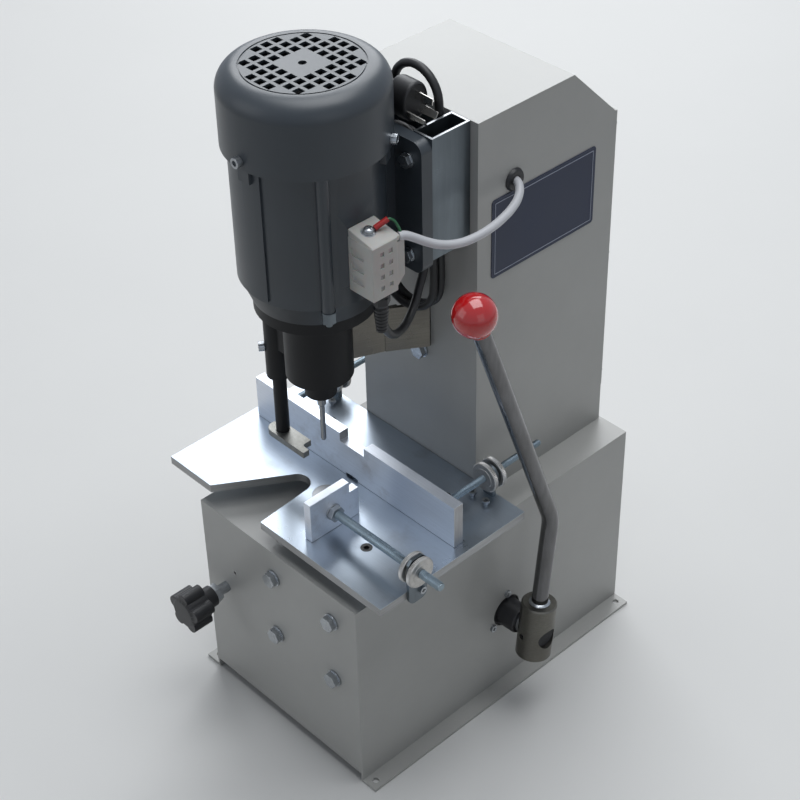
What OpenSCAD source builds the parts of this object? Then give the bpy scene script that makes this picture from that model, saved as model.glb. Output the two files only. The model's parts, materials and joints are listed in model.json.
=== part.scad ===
// Paper drill: a desk machine that drills holes through a stack of paper. A lever at the right
// side pulls a motor head down two guide rods in a tower. The table carries a fence and a side
// guide. The origin lies on the floor, in the middle of the four foot holes. X runs across,
// Y from the operator to the back, Z up. All sizes are in millimetres.

/* [Base] */
// Width of the base housing over its side walls
base_w = 200; // [196:1:206]
// Depth of the base housing
base_d = 334; // [330:1:342]
// Height of the base housing above the floor
base_h = 206; // [203:1:212]
// Sheet thickness of the base and the tower
wall = 2; // [1.5:0.5:2.5]
// Distance between the foot holes across the machine
foot_dx = 216; // [214:1:224]
// Distance between the foot holes from front to back
foot_dy = 318; // [300:1:320]
// Diameter of a foot hole
foot_hole_d = 6; // [5:0.5:7]

/* [Table] */
// Width of the table plate
table_w = 270; // [264:1:276]
// Thickness of the table plate
table_t = 8; // [7:0.5:9]
// Height of the spacers between the base and the table
spacer_h = 14.5; // [14:0.5:16]

/* [Tower] */
// Width of the tower
tower_w = 138; // [136:1:144]
// Depth of the tower
tower_d = 161; // [150:1:161]
// Height of the tower above the base
tower_h = 372; // [371:1:380]
// Leg of the sloping corner at the top of the tower's back
tower_slope = 54; // [40:1:60]

/* [Drilling head] */
// Offset of the drill from the middle of the machine
drill_x = -7.5; // [-8.5:0.5:-6.5]
// Travel of the head
stroke = 60; // [54:1:61]
// Outside diameter of the hollow drill
drill_d = 4.5; // [3:0.5:6]
// Radius of the motor's body
motor_r = 58.3; // [56:0.1:59]
// Radius of the motor's fan cover
cover_r = 65.2; // [63:0.2:68]
// Radius of the spindle housing
quill_r = 28; // [26:0.5:29]
// Diameter of the guide rods
guide_d = 16; // [14:0.5:17]

/* [Lever] */
// Diameter of the lever shaft
shaft_d = 20; // [18:0.5:21]
// Diameter of the lever rod
lever_d = 15; // [13:0.5:16]
// Length from the shaft to the bend
lever_lower = 126; // [120:1:132]
// Length from the bend to the middle of the ball
lever_upper = 276.5; // [260:0.5:280]
// Diameter of the ball
ball_d = 35.5; // [32:0.5:40]
// Length of the crank inside the base
crank_l = 120; // [116:1:122]

/* [Fence and side guide] */
// Length of the fence bar
fence_l = 250; // [240:1:256]
// Height of the fence bar above the table
fence_h = 43; // [36:1:46]
// Thickness of the fence bar
fence_t = 10; // [8:0.5:12]
// Height of the side guide above the table
guide_h = 40; // [36:1:44]
// Length of the side guide
guide_l = 53.5; // [48:0.5:56]
// Diameter of the knurled nuts
nut_d = 28; // [24:0.5:28]

/* [Hidden] */
$fn = 48;
// Clearance of a running fit, measured on the radius
fit = 0.04;
// Gap between pieces that slide past each other
gap = 0.3;

side_x = base_w / 2;
front_y = -base_d / 2;
rear_y = base_d / 2;
foot_x = foot_dx / 2;
foot_y = foot_dy / 2;
flange_t = 3;
front_gap = 10;

tower_x = tower_w / 2;
tower_y0 = 3.5;
tower_y1 = tower_y0 + tower_d;
tower_z1 = base_h + tower_h;
cover_z0 = base_h + 37;
cover_z1 = tower_z1 - tower_slope;

table_z0 = base_h + spacer_h;
table_z = table_z0 + table_t;
table_x0 = drill_x - table_w / 2;
table_x1 = drill_x + table_w / 2;
table_y0 = -164;
table_y1 = tower_y0 - 0.5;
bolt_dx = 73.3;
bolt_y = [-122, -30];
table_bolts = [[drill_x + bolt_dx, bolt_y[0]], [drill_x + bolt_dx, bolt_y[1]],
    [drill_x - bolt_dx, bolt_y[1]]];
drill_y = -100.2;
pad_r = 12.7;

// Levels of the head at rest, above the table
flange_z = table_z + 203.5;
shield_z = flange_z + 11;
motor_z0 = flange_z + 29.5;
motor_z1 = flange_z + 147;
cover_h = 61;
quill_z0 = flange_z - 70.2;
nose_z0 = flange_z - 92.5;
nose_r = 13.2;
foot_z0 = motor_z0;
foot_z1 = flange_z + 145;
mount_y1 = drill_y + 63;
mount_y0 = mount_y1 - 11;
mount_dx = 68.5;
tube_z0 = flange_z + 39;
tube_z1 = flange_z + 146;
tube_w = 20;
tube_t = 2;
link_y0 = -1;
link_y1 = tower_y0 - 0.5;
slide_z0 = flange_z + 48;
slide_z1 = flange_z + 118;
slide_y0 = 12;
slide_y1 = 44;
rod_dx = 45;
rod_y = 28;
rod_z0 = flange_z - 107;
rod_z1 = flange_z + 141;
lower_z1 = flange_z - 85;
upper_z0 = flange_z + 123;
boss_dx = 25;
boss_w = 20;
shaft_r = 8;
tip_z = table_z + stroke + 1.25;
tie_r = motor_r + 1.2;
tie_a = [-151, -31, 89];
tie_d = 5;
tie_nut = 10;
pad_a = -77;
pad_t = 1.7;
cover_a = [-89, 31, 151];
cover_round = 17;
cover_t = 2;
grille_r = 46.2;

// Presser
press_x = drill_x - 53.5;
press_y = drill_y - 0.3;
finger_x = drill_x - 59.2;
press_r = 6;
press_travel = 25;
press_z0 = table_z + 0.5 + stroke - press_travel;
press_t = 6;
press_z1 = press_z0 + 121;
lug_r = 10.5;
lug_z0 = flange_z - 102;

// Lever and crank
shaft_y = 13;
shaft_z = 87;
hub_r = 16;
lever_x = max(table_x1 + lever_d / 2 + 1, side_x + hub_r + 20);
lever_lean = 6.5;
lever_bend = 26.6;
bend_r = 40;
bend_t = bend_r * tan(lever_bend / 2);
roller_r = 8;
roller_z = shaft_z + stroke / 2;
roller_y = shaft_y - sqrt(crank_l * crank_l - stroke * stroke / 4);
crank_x0 = 24;
crank_t = 10;
plate_x0 = 12;
plate_t = 6;
plate_z0 = roller_z - 19;
plate_z1 = roller_z + 63;
web_x = [3, 55];
web_t = 8;
flange_x0 = [-15, 55];
flange_x1 = [11, 82];
bolt_x = [-4.4, 69.8];
bolt_z = [110, 177];

// Depth setting
knob_x = -side_x + 26;
knob_z = 120;
screw_r = 5;
knob_y = front_y - 17;

// Fence and side guide
fence_y = -71;
fence_dx = 97.5;
fence_rod_r = 3;
fence_rod_z = table_z + 21.5;
tab_y0 = -3;
tab_y1 = 1;
nut_t = 5;
guide_x = 22;
guide_t = 8;
guide_y0 = -150.5;
guide_y1 = guide_y0 + guide_l;
guide_rod_r = 4;
guide_rod_y = -126;
guide_rod_z = table_z + 20;
edge_t = 3;

// Round cable of the mains lead: it leaves the gland, droops under the motor foot, rises into
// three loops between the two square tubes and ends in the plug above them
cable_r = 3.5;
cable_sides = 6;
loop_x = 11;
loop_r = 24.5;
loop_y = [-20, -12.4, -4.8];
loop_z0 = flange_z - 13.2;
loop_z1 = [flange_z + 106, flange_z + 100, flange_z + 153];
gland_x = 70;
gland_y = drill_y - 1;
gland_z = flange_z + 32;
plug_x = -4;
plug_y = -18.7;
plug_z = flange_z + 160;

function arc_top(k) = [for (a = [22.5 : 22.5 : 157.5])
    [loop_x + loop_r * cos(a), loop_y[k], loop_z1[k] + loop_r * sin(a)]];
function arc_low(k) = [for (a = [202.5 : 22.5 : 337.5])
    [loop_x + loop_r * cos(a),
     loop_y[k] + (loop_y[k + 1] - loop_y[k]) * (1 - cos(a - 180)) / 2,
     loop_z0 + loop_r * sin(a)]];
function leg_up(k, from) = [for (i = [0 : 4])
    [loop_x + loop_r, loop_y[k], from + (loop_z1[k] - from) * i / 4]];
function leg_down(k, to) = [for (i = [0 : 4])
    [loop_x - loop_r, loop_y[k], loop_z1[k] + (to - loop_z1[k]) * i / 4]];

lead_in = [
    [gland_x, gland_y, gland_z],
    [gland_x, gland_y, gland_z - 7],
    [gland_x - 0.7, gland_y + 2.4, gland_z - 17],
    [gland_x - 3.2, gland_y + 8, gland_z - 28],
    [gland_x - 7.4, gland_y + 16.6, gland_z - 38],
    [gland_x - 12.6, gland_y + 27.4, gland_z - 45.5],
    [gland_x - 18.4, gland_y + 39.6, gland_z - 49],
    [gland_x - 24, gland_y + 51.6, gland_z - 48],
    [gland_x - 28.8, gland_y + 62.6, gland_z - 42],
    [gland_x - 32.4, gland_y + 71.4, gland_z - 31.5],
    [gland_x - 34.1, gland_y + 78.4, gland_z - 18],
];
plug_in = [
    [loop_x - loop_r, loop_y[2], loop_z1[2] - 1],
    [loop_x - loop_r - 0.6, loop_y[2] - 0.6, plug_z - 13],
    [loop_x - loop_r - 1.7, loop_y[2] - 3.4, plug_z - 18.4],
    [loop_x - loop_r - 2.8, loop_y[2] - 7.8, plug_z - 19.9],
    [loop_x - loop_r - 3.6, loop_y[2] - 11.8, plug_z - 17.4],
    [loop_x - loop_r - 3.7, plug_y - 0.6, plug_z - 12],
    [loop_x - loop_r - 2.6, plug_y - 0.3, plug_z - 6],
    [loop_x - loop_r + 0.2, plug_y, plug_z - 1.6],
    [plug_x - 8, plug_y, plug_z],
    [plug_x - 1, plug_y, plug_z],
];
mains_path = concat(
    lead_in,
    leg_up(0, gland_z), arc_top(0), leg_down(0, loop_z0), arc_low(0),
    leg_up(1, loop_z0), arc_top(1), leg_down(1, loop_z0), arc_low(1),
    leg_up(2, loop_z0), arc_top(2),
    plug_in);

// Round cable of the motor, from the terminal block to the grommet in the tower's side
motor_path = [for (p = [
    [76, -87.5, 91.5], [77.4, -82.2, 90.6], [80.2, -76, 87.2], [84.4, -67.4, 81.4],
    [88.8, -56.4, 75.6], [92.6, -41.6, 71.4], [94.6, -24.4, 70.2], [94.2, -7.6, 70.5],
    [91.8, 8.4, 71.4], [88.2, 22.6, 73], [83.6, 33.4, 75.2], [78.4, 40.2, 78.2],
    [73.4, 43.2, 80.4], [69.5, 43.8, 80.7], [63, 43.8, 80.7]])
    [p[0] + tower_x - 69, p[1], p[2] + flange_z]];

// Least room between two passes of the mains cable, printed
pass_gap = min([for (i = [0 : len(mains_path) - 6], j = [i + 5 : len(mains_path) - 1])
    norm(mains_path[i] - mains_path[j])]) - 2 * cable_r;
echo(least_gap_of_the_cable = pass_gap);

function unit(v) = v / norm(v);
function heading(p, i) = unit(p[min(i + 1, len(p) - 1)] - p[max(i - 1, 0)]);
function square_to(v, t) = unit(v - (v * t) * t);
function spin_frame(p) = [for (
    i = 0, u = square_to([0.3, 0.9, 0.2], heading(p, 0));
    i < len(p);
    i = i + 1, u = square_to(u, heading(p, min(i, len(p) - 1)))) u];
function coil_path(r, z0, z1, turns, per_turn) = [for (i = [0 : turns * per_turn])
    [r * cos(360 * i / per_turn), r * sin(360 * i / per_turn),
     z0 + (z1 - z0) * i / (turns * per_turn)]];

// Shared forms

// Block between two opposite corners
module block(a, b) {
    translate(a) cube(b - a);
}

// Round bar along Z from the origin
module bar(r, h) {
    cylinder(r = r, h = h);
}

// Outline in Y and Z, made solid from x0 to x1
module side_profile(x0, x1) {
    translate([x0, 0, 0])
        rotate([90, 0, 90])
            linear_extrude(x1 - x0)
                children();
}

// Rectangle with round corners, centred
module round_rect(w, h, r) {
    square([w - 2 * r, h], center = true);
    square([w, h - 2 * r], center = true);
    for (x = [-1, 1], y = [-1, 1])
        translate([x * (w / 2 - r), y * (h / 2 - r)]) circle(r);
}

// Tube along a list of points
module swept_tube(p, r, sides) {
    n = len(p);
    frame = spin_frame(p);
    pts = [for (i = [0 : n - 1], k = [0 : sides - 1])
        p[i] + r * (cos(360 * k / sides) * frame[i]
            + sin(360 * k / sides) * cross(heading(p, i), frame[i]))];
    skin = [for (i = [0 : n - 2], k = [0 : sides - 1], half = [0, 1])
        let (a = i * sides + k, b = i * sides + (k + 1) % sides)
            half == 0 ? [a, a + sides, b] : [b, a + sides, b + sides]];
    ends = [[for (k = [0 : sides - 1]) k],
        [for (k = [sides - 1 : -1 : 0]) (n - 1) * sides + k]];
    polyhedron(points = pts, faces = concat(skin, ends), convexity = 10);
}

// Hexagon bolt with its washer: the seat is at z = 0, the shank points down
module hex_bolt(r, len, af, head_h, washer_r, washer_t) {
    translate([0, 0, -len]) bar(r, len);
    bar(washer_r, washer_t);
    translate([0, 0, washer_t]) cylinder(d = af / cos(30), h = head_h, $fn = 6);
}

// Pan head screw with a cross recess: seat at z = 0, shank down
module pan_screw(len) {
    translate([0, 0, -len]) bar(2, len);
    difference() {
        bar(3.4, 2.4);
        translate([0, 0, 1.5]) {
            cube([4, 0.9, 2], center = true);
            cube([0.9, 4, 2], center = true);
        }
    }
}

// Countersunk screw, flush at z = 0, shank down
module flush_screw(len) {
    translate([0, 0, -len]) bar(2.5, len - 1.5);
    translate([0, 0, -1.5]) cylinder(r1 = 2.5, r2 = 4, h = 1.5);
}

// Socket head cap screw: seat at z = 0, shank down
module cap_screw(r, len) {
    translate([0, 0, -len]) bar(r, len);
    difference() {
        bar(1.7 * r, 2 * r);
        translate([0, 0, r]) cylinder(r = r, h = 2 * r, $fn = 6);
    }
}

// Knurled round nut, axis along Z, from the origin up
module knurled_nut(bore) {
    difference() {
        union() {
            translate([0, 0, 0.8]) bar(nut_d / 2, nut_t - 1.6);
            cylinder(r1 = nut_d / 2 - 0.8, r2 = nut_d / 2, h = 0.8);
            translate([0, 0, nut_t - 0.8])
                cylinder(r1 = nut_d / 2, r2 = nut_d / 2 - 0.8, h = 0.8);
        }
        translate([0, 0, -1]) bar(bore, nut_t + 2);
        for (a = [0 : 20 : 340])
            rotate([0, 0, a])
                translate([nut_d / 2 + 0.5, 0, -1])
                    rotate([0, 0, 45])
                        translate([-0.8, -0.8, 0])
                            cube([1.6, 1.6, nut_t + 2]);
    }
}

// Places of the fasteners
module at_front_bolts() {
    for (x = bolt_x, z = bolt_z)
        translate([x, front_y, z]) rotate([90, 0, 0]) children();
    for (s = [-1, 1])
        translate([drill_x + s * 11.5, tower_y0, flange_z - 96]) rotate([90, 0, 0]) children();
}

module at_guide_screws() {
    for (s = [-1, 1])
        translate([drill_x + s * 20, tower_y0, flange_z + 132]) rotate([90, 0, 0]) children();
}

module at_rear_screws() {
    for (s = [-1, 1], z = [30, base_h / 2, base_h - 30])
        translate([s * (side_x - 8), rear_y + wall, z]) rotate([-90, 0, 0]) children();
}

module at_cover_screws() {
    for (s = [-1, 1], z = [cover_z0 + 14, (cover_z0 + cover_z1) / 2, cover_z1 - 14])
        translate([s * (tower_x - 7), tower_y1 + 3, z]) rotate([-90, 0, 0]) children();
}

module at_bearing_screws() {
    for (a = [90, 210, 330])
        translate([side_x, shaft_y + 20.6 * cos(a), shaft_z + 20.6 * sin(a)])
            rotate([0, 90, 0]) children();
}

module at_tab_screws() {
    for (s = [-1, 1], t = [-1, 1])
        translate([drill_x + s * fence_dx + t * 8, -13.5, table_z + 3]) children();
}

module at_edge_screw() {
    translate([table_x1 + edge_t, -121, table_z0 + table_t / 2]) rotate([0, 90, 0]) children();
}

module at_table_bolts() {
    for (p = table_bolts) translate([p[0], p[1], table_z - 4]) children();
}

module at_foot_bolts() {
    for (s = [-1, 1], z = [foot_z0 + 14.5, foot_z1 - 17])
        translate([drill_x + s * 54.2, mount_y0, z]) rotate([90, 0, 0]) children();
}

// Sheet steel base: open below, flanged feet at both sides, a window at the back
module base_housing() {
    color([0.80, 0.79, 0.76]) difference() {
        union() {
            difference() {
                block([-side_x, front_y, 0], [side_x, rear_y, base_h]);
                block([-side_x + wall, front_y + wall, -1],
                    [side_x - wall, rear_y - wall, base_h - wall]);
                block([-side_x + wall, front_y - 1, -1],
                    [side_x - wall, front_y + wall + 1, front_gap]);
                block([-side_x + 13, rear_y - wall - 1, 14],
                    [side_x - 13, rear_y + 1, base_h - 14]);
            }
            for (s = [-1, 1])
                translate([s * (side_x + foot_x + 8) / 2, 0, flange_t / 2])
                    cube([foot_x + 8 - side_x, base_d, flange_t], center = true);
        }
        for (x = [-foot_x, foot_x], y = [-foot_y, foot_y])
            translate([x, y, -1]) bar(foot_hole_d / 2, flange_t + 2);
        at_front_bolts() translate([0, 0, -wall - 1]) bar(4, wall + 2);
        at_rear_screws() translate([0, 0, -10]) bar(2, 12);
        at_bearing_screws() translate([0, 0, -10]) bar(2, 12);
        at_table_bolts() translate([0, 0, -40]) bar(3, 40);
        translate([side_x - wall - 1, shaft_y, shaft_z])
            rotate([0, 90, 0]) bar(hub_r + 0.2, wall + 2);
        translate([knob_x, front_y + wall + 1, knob_z])
            rotate([90, 0, 0]) bar(screw_r + fit, wall + 2);
        translate([knob_x + 14, front_y + wall + 1, knob_z + 25])
            rotate([90, 0, 0]) bar(1.6, wall + 2);
        block([-42, 14, base_h - wall - 1], [40, 104, base_h + 1]);
    }
}

// Flat cover over the window at the back of the base, with air slots
module base_rear_panel() {
    color([0.80, 0.79, 0.76]) difference() {
        block([-side_x + 3, rear_y, 4], [side_x - 3, rear_y + wall, base_h - 4]);
        at_rear_screws() translate([0, 0, -10]) bar(2, 12);
        for (z = [60 : 12 : 144])
            translate([0, rear_y + wall / 2, z]) rotate([90, 0, 0])
                linear_extrude(wall + 2, center = true) round_rect(90, 4, 1.9);
    }
}

// Tower of bent sheet, open below to the base, with a sloping top corner at the back
module tower_housing() {
    s = 0.4142 * wall;
    color([0.80, 0.79, 0.76]) difference() {
        side_profile(-tower_x, tower_x) polygon([
            [tower_y0, base_h], [tower_y1, base_h], [tower_y1, cover_z1],
            [tower_y1 - tower_slope, tower_z1], [tower_y0, tower_z1]]);
        side_profile(-tower_x + wall, tower_x - wall) polygon([
            [tower_y0 + wall, base_h + wall], [tower_y1 - wall, base_h + wall],
            [tower_y1 - wall, cover_z1 - s],
            [tower_y1 - tower_slope - s, tower_z1 - wall], [tower_y0 + wall, tower_z1 - wall]]);
        block([-tower_x + 14, tower_y0 + 8, base_h - 1],
            [tower_x - 14, tower_y1 - 14, base_h + wall + 1]);
        block([-tower_x + 12, tower_y1 - wall - 1, cover_z0 + 10],
            [tower_x - 12, tower_y1 + 1, cover_z1 - 10]);
        for (s = [-1, 1])
            translate([drill_x + s * boss_dx, tower_y0 + wall / 2, flange_z + 60.5])
                rotate([90, 0, 0])
                    linear_extrude(wall + 2, center = true)
                        round_rect(boss_w + 2, 109 + (stroke - 60), 4);
        at_front_bolts() translate([0, 0, -wall - 1]) bar(4, wall + 2);
        at_guide_screws() flush_screw(10);
        at_cover_screws() translate([0, 0, -12]) bar(2, 14);
        translate([tower_x - wall - 1, 43.8, flange_z + 80.7])
            rotate([0, 90, 0]) bar(7.5, wall + 2);
    }
}

// Cover plate on the back of the tower
module tower_rear_cover() {
    color([0.80, 0.79, 0.76]) difference() {
        block([-tower_x + 2, tower_y1, cover_z0], [tower_x - 2, tower_y1 + 3, cover_z1]);
        at_cover_screws() translate([0, 0, -12]) bar(2, 14);
    }
}

// Pan head screws of the covers, the bearing flange and the brackets
module pan_screws() {
    color([0.72, 0.73, 0.74]) {
        at_rear_screws() pan_screw(8);
        at_cover_screws() pan_screw(8);
        at_bearing_screws() pan_screw(wall + 4);
        at_tab_screws() pan_screw(8);
        at_edge_screw() pan_screw(12);
    }
}

// Hexagon bolts of the bearing plates and of the lower guide block
module front_bolts() {
    color([0.75, 0.76, 0.77]) at_front_bolts() hex_bolt(4, 14, 13, 5.3, 8, 1.6);
}

// Flush screws of the upper guide block
module guide_screws() {
    color([0.72, 0.73, 0.74]) at_guide_screws() flush_screw(14);
}

// Two angle plates behind the front panel that carry the lever shaft
module bearing_plates() {
    color([0.55, 0.56, 0.58]) for (i = [0, 1]) difference() {
        union() {
            block([flange_x0[i], front_y + wall, 95],
                [flange_x1[i], front_y + wall + web_t, base_h - 14]);
            side_profile(web_x[i], web_x[i] + web_t) polygon([
                [front_y + wall + web_t, 95], [front_y + wall + web_t, base_h - 14], [-60, base_h - 14],
                [shaft_y + 25, 112], [shaft_y + 25, 62], [-16, 62], [-60, 95]]);
        }
        translate([web_x[i] - 1, shaft_y, shaft_z])
            rotate([0, 90, 0]) bar(shaft_d / 2 + fit, web_t + 2);
        at_front_bolts() translate([0, 0, -16]) bar(4, 18);
    }
}

// Flanged bearing in the side wall, with a boss that reaches to the lever hub
module side_bearing() {
    x0 = side_x - wall - 4;
    color([0.07, 0.07, 0.08]) difference() {
        union() {
            translate([x0, shaft_y, shaft_z]) rotate([0, 90, 0]) bar(28, 4);
            translate([x0, shaft_y, shaft_z]) rotate([0, 90, 0])
                bar(hub_r, lever_x - hub_r - 0.4 - x0);
        }
        translate([x0 - 1, shaft_y, shaft_z]) rotate([0, 90, 0]) bar(shaft_d / 2 + fit, 60);
        at_bearing_screws() translate([0, 0, -10]) bar(2, 12);
    }
}

// Two round rods on which the carriage slides
module guide_rods() {
    color([0.78, 0.79, 0.80]) for (s = [-1, 1])
        translate([drill_x + s * rod_dx, rod_y, rod_z0]) bar(guide_d / 2, rod_z1 - rod_z0);
}

// Blocks behind the tower's front wall that hold the guide rods
module guide_blocks() {
    color([0.60, 0.61, 0.62]) for (z = [[rod_z0, lower_z1], [upper_z0, rod_z1]])
        difference() {
            block([drill_x - 57.5, tower_y0 + wall, z[0]], [drill_x + 57.5, slide_y1, z[1]]);
            for (s = [-1, 1])
                translate([drill_x + s * rod_dx, rod_y, z[0] - 1])
                    bar(guide_d / 2, z[1] - z[0] + 2);
            at_front_bolts() translate([0, 0, -16]) bar(4, 18);
            at_guide_screws() translate([0, 0, -14]) bar(2.5, 14);
            block([plate_x0 - 1.5, 23, z[0] - 1],
                [plate_x0 + plate_t + 1.5, slide_y1 + 1, z[1] + 1]);
        }
}

// Table plate with the finger notch at the front and a seat for the drilling pad
module table_plate() {
    color([0.77, 0.79, 0.81]) difference() {
        block([table_x0, table_y0, table_z0], [table_x1, table_y1, table_z]);
        translate([0, 0, table_z0 - 1]) linear_extrude(table_t + 2) {
            polygon([[-88.1, table_y0 - 1], [-47.4, -102.7], [-24.4, -108.6],
                [-20.4, table_y0 - 1]]);
            translate([-36.9, -109.5]) circle(12.54);
        }
        translate([drill_x, drill_y, table_z - 5]) bar(pad_r, 6);
        translate([drill_x, drill_y, table_z0 - 1]) bar(pad_r - 3, table_t + 2);
        at_table_bolts() {
            bar(5.2, 5);
            translate([0, 0, -30]) bar(3, 40);
        }
        at_tab_screws() translate([0, 0, -8]) bar(2, 10);
        at_edge_screw() translate([0, 0, -12]) bar(2, 14);
    }
}

// Round spacers between the base and the table
module table_spacers() {
    color([0.75, 0.76, 0.77]) difference() {
        for (p = table_bolts) translate([p[0], p[1], base_h]) bar(10, spacer_h);
        at_table_bolts() translate([0, 0, -40]) bar(3, 50);
    }
}

// Socket head screws through table, spacer and base, with their nuts
module table_screws() {
    color([0.20, 0.20, 0.21]) at_table_bolts() {
        difference() {
            union() {
                translate([0, 0, base_h - table_z - 6]) bar(3, table_z - base_h + 6);
                bar(5.2, 3.8);
            }
            translate([0, 0, 1.4]) cylinder(r = 2.6, h = 4, $fn = 6);
        }
        translate([0, 0, base_h - wall - table_z - 1]) difference() {
            cylinder(d = 10 / cos(30), h = 5, $fn = 6);
            translate([0, 0, -1]) bar(3, 7);
        }
    }
}

// Round pad let into the table under the drill
module drill_pad() {
    color([0.50, 0.51, 0.50]) translate([drill_x, drill_y, table_z - 5]) bar(pad_r, 5);
}

// Angle brackets of the fence rods and the edge bracket of the side guide's rod
module stop_brackets() {
    color([0.70, 0.72, 0.74]) difference() {
        union() {
            for (s = [-1, 1])
                translate([drill_x + s * fence_dx, 0, 0]) {
                    block([-5.5, tab_y0, table_z], [5.5, tab_y1, fence_rod_z]);
                    translate([0, tab_y1, fence_rod_z]) rotate([90, 0, 0])
                        bar(10, tab_y1 - tab_y0);
                }
            side_profile(table_x1, table_x1 + edge_t) polygon([
                [-135, table_z0 - 12], [-115, table_z0 - 12], [-115, table_z + 28],
                [-120, table_z + 33.5], [-131, table_z + 33.5], [-135, table_z + 29.5]]);
        }
        for (s = [-1, 1])
            translate([drill_x + s * fence_dx, 10, fence_rod_z])
                rotate([90, 0, 0]) bar(fence_rod_r + fit, 30);
        translate([table_x1 - 5, guide_rod_y, guide_rod_z])
            rotate([0, 90, 0]) bar(guide_rod_r + fit, 20);
        at_tab_screws() translate([0, 0, -8]) bar(2, 10);
        at_edge_screw() translate([0, 0, -12]) bar(2, 14);
    }
}

// Bare data plate on the tower's right side
module data_plate() {
    color([0.20, 0.20, 0.38])
        translate([tower_x, 79.5, base_h + 260.5]) rotate([90, 0, 90])
            linear_extrude(0.8) round_rect(121, 73, 3);
}

// Grommet where the motor cable enters the tower
module cable_grommet() {
    color([0.06, 0.06, 0.06]) translate([tower_x - wall, 43.8, flange_z + 80.7])
        rotate([0, 90, 0]) difference() {
            union() {
                translate([0, 0, -1.5]) bar(9, 1.5);
                bar(7.5, wall);
                translate([0, 0, wall]) cylinder(r1 = 10, r2 = 8.4, h = 3);
            }
            translate([0, 0, -3]) bar(cable_r + gap, wall + 8);
        }
}

// Limit switch inside the tower that starts the motor when the head leaves its rest
module start_switch() {
    color([0.12, 0.12, 0.13]) difference() {
        union() {
            block([tower_x - wall - 17, 62, slide_z0 + 8], [tower_x - wall, 92, slide_z0 + 60]);
            translate([tower_x - wall - 9, 62, slide_z0 + 20]) rotate([90, 0, 0]) bar(4, 5);
        }
        for (z = [16, 52])
            translate([tower_x - wall - 18, 77, slide_z0 + z]) rotate([0, 90, 0]) bar(1.6, 17);
    }
}

// Sliding carriage with two bosses that reach through the tower's front wall
module carriage() {
    color([0.58, 0.59, 0.60]) difference() {
        union() {
            block([drill_x - 57, slide_y0, slide_z0], [drill_x + 57, slide_y1, slide_z1]);
            for (s = [-1, 1])
                block([drill_x + s * boss_dx - boss_w / 2, link_y1, slide_z0 + 20],
                    [drill_x + s * boss_dx + boss_w / 2, slide_y0, slide_z1 - 5]);
        }
        for (s = [-1, 1])
            translate([drill_x + s * rod_dx, rod_y, slide_z0 - 1])
                bar(guide_d / 2 + fit, slide_z1 - slide_z0 + 2);
    }
}

// Lift plate: hangs from the carriage into the base, straddles the shaft, slot for the roller
module lift_plate() {
    color([0.62, 0.63, 0.64]) side_profile(plate_x0, plate_x0 + plate_t) difference() {
        polygon([[roller_y - 25, plate_z0], [0, plate_z0], [0, plate_z1 - 20],
            [26, plate_z1 - 20], [26, 110], [47, 110], [47, slide_z0], [26, slide_z0],
            [26, plate_z1], [roller_y - 25, plate_z1]]);
        for (y = [shaft_y - crank_l - 0.4, roller_y + 0.4])
            translate([y, roller_z]) circle(roller_r + gap);
        translate([(shaft_y - crank_l + roller_y) / 2, roller_z])
            square([roller_y - shaft_y + crank_l + 0.8, 2 * (roller_r + gap)], center = true);
    }
}

// Two square tubes, open at the top, and the plate that joins them to the carriage
module head_frame() {
    color([0.72, 0.73, 0.72]) {
        for (s = [-1, 1]) difference() {
            block([drill_x + s * 58.5 - tube_w / 2, mount_y1, tube_z0],
                [drill_x + s * 58.5 + tube_w / 2, link_y1, tube_z1]);
            block([drill_x + s * 58.5 - tube_w / 2 + tube_t, mount_y1 + tube_t, tube_z0 - 1],
                [drill_x + s * 58.5 + tube_w / 2 - tube_t, link_y1 - tube_t, tube_z1 + 1]);
            at_foot_bolts() translate([0, 0, -30]) bar(3, 30);
        }
        block([drill_x - 58.5 + tube_w / 2, link_y0, slide_z0],
            [drill_x + 58.5 - tube_w / 2, link_y1, slide_z1 + 20]);
    }
}

// Bolts with washers that hold the motor foot to the tubes
module foot_bolts() {
    color([0.78, 0.78, 0.75]) at_foot_bolts() hex_bolt(3, 22, 10, 4, 6.4, 1.6);
}

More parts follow.
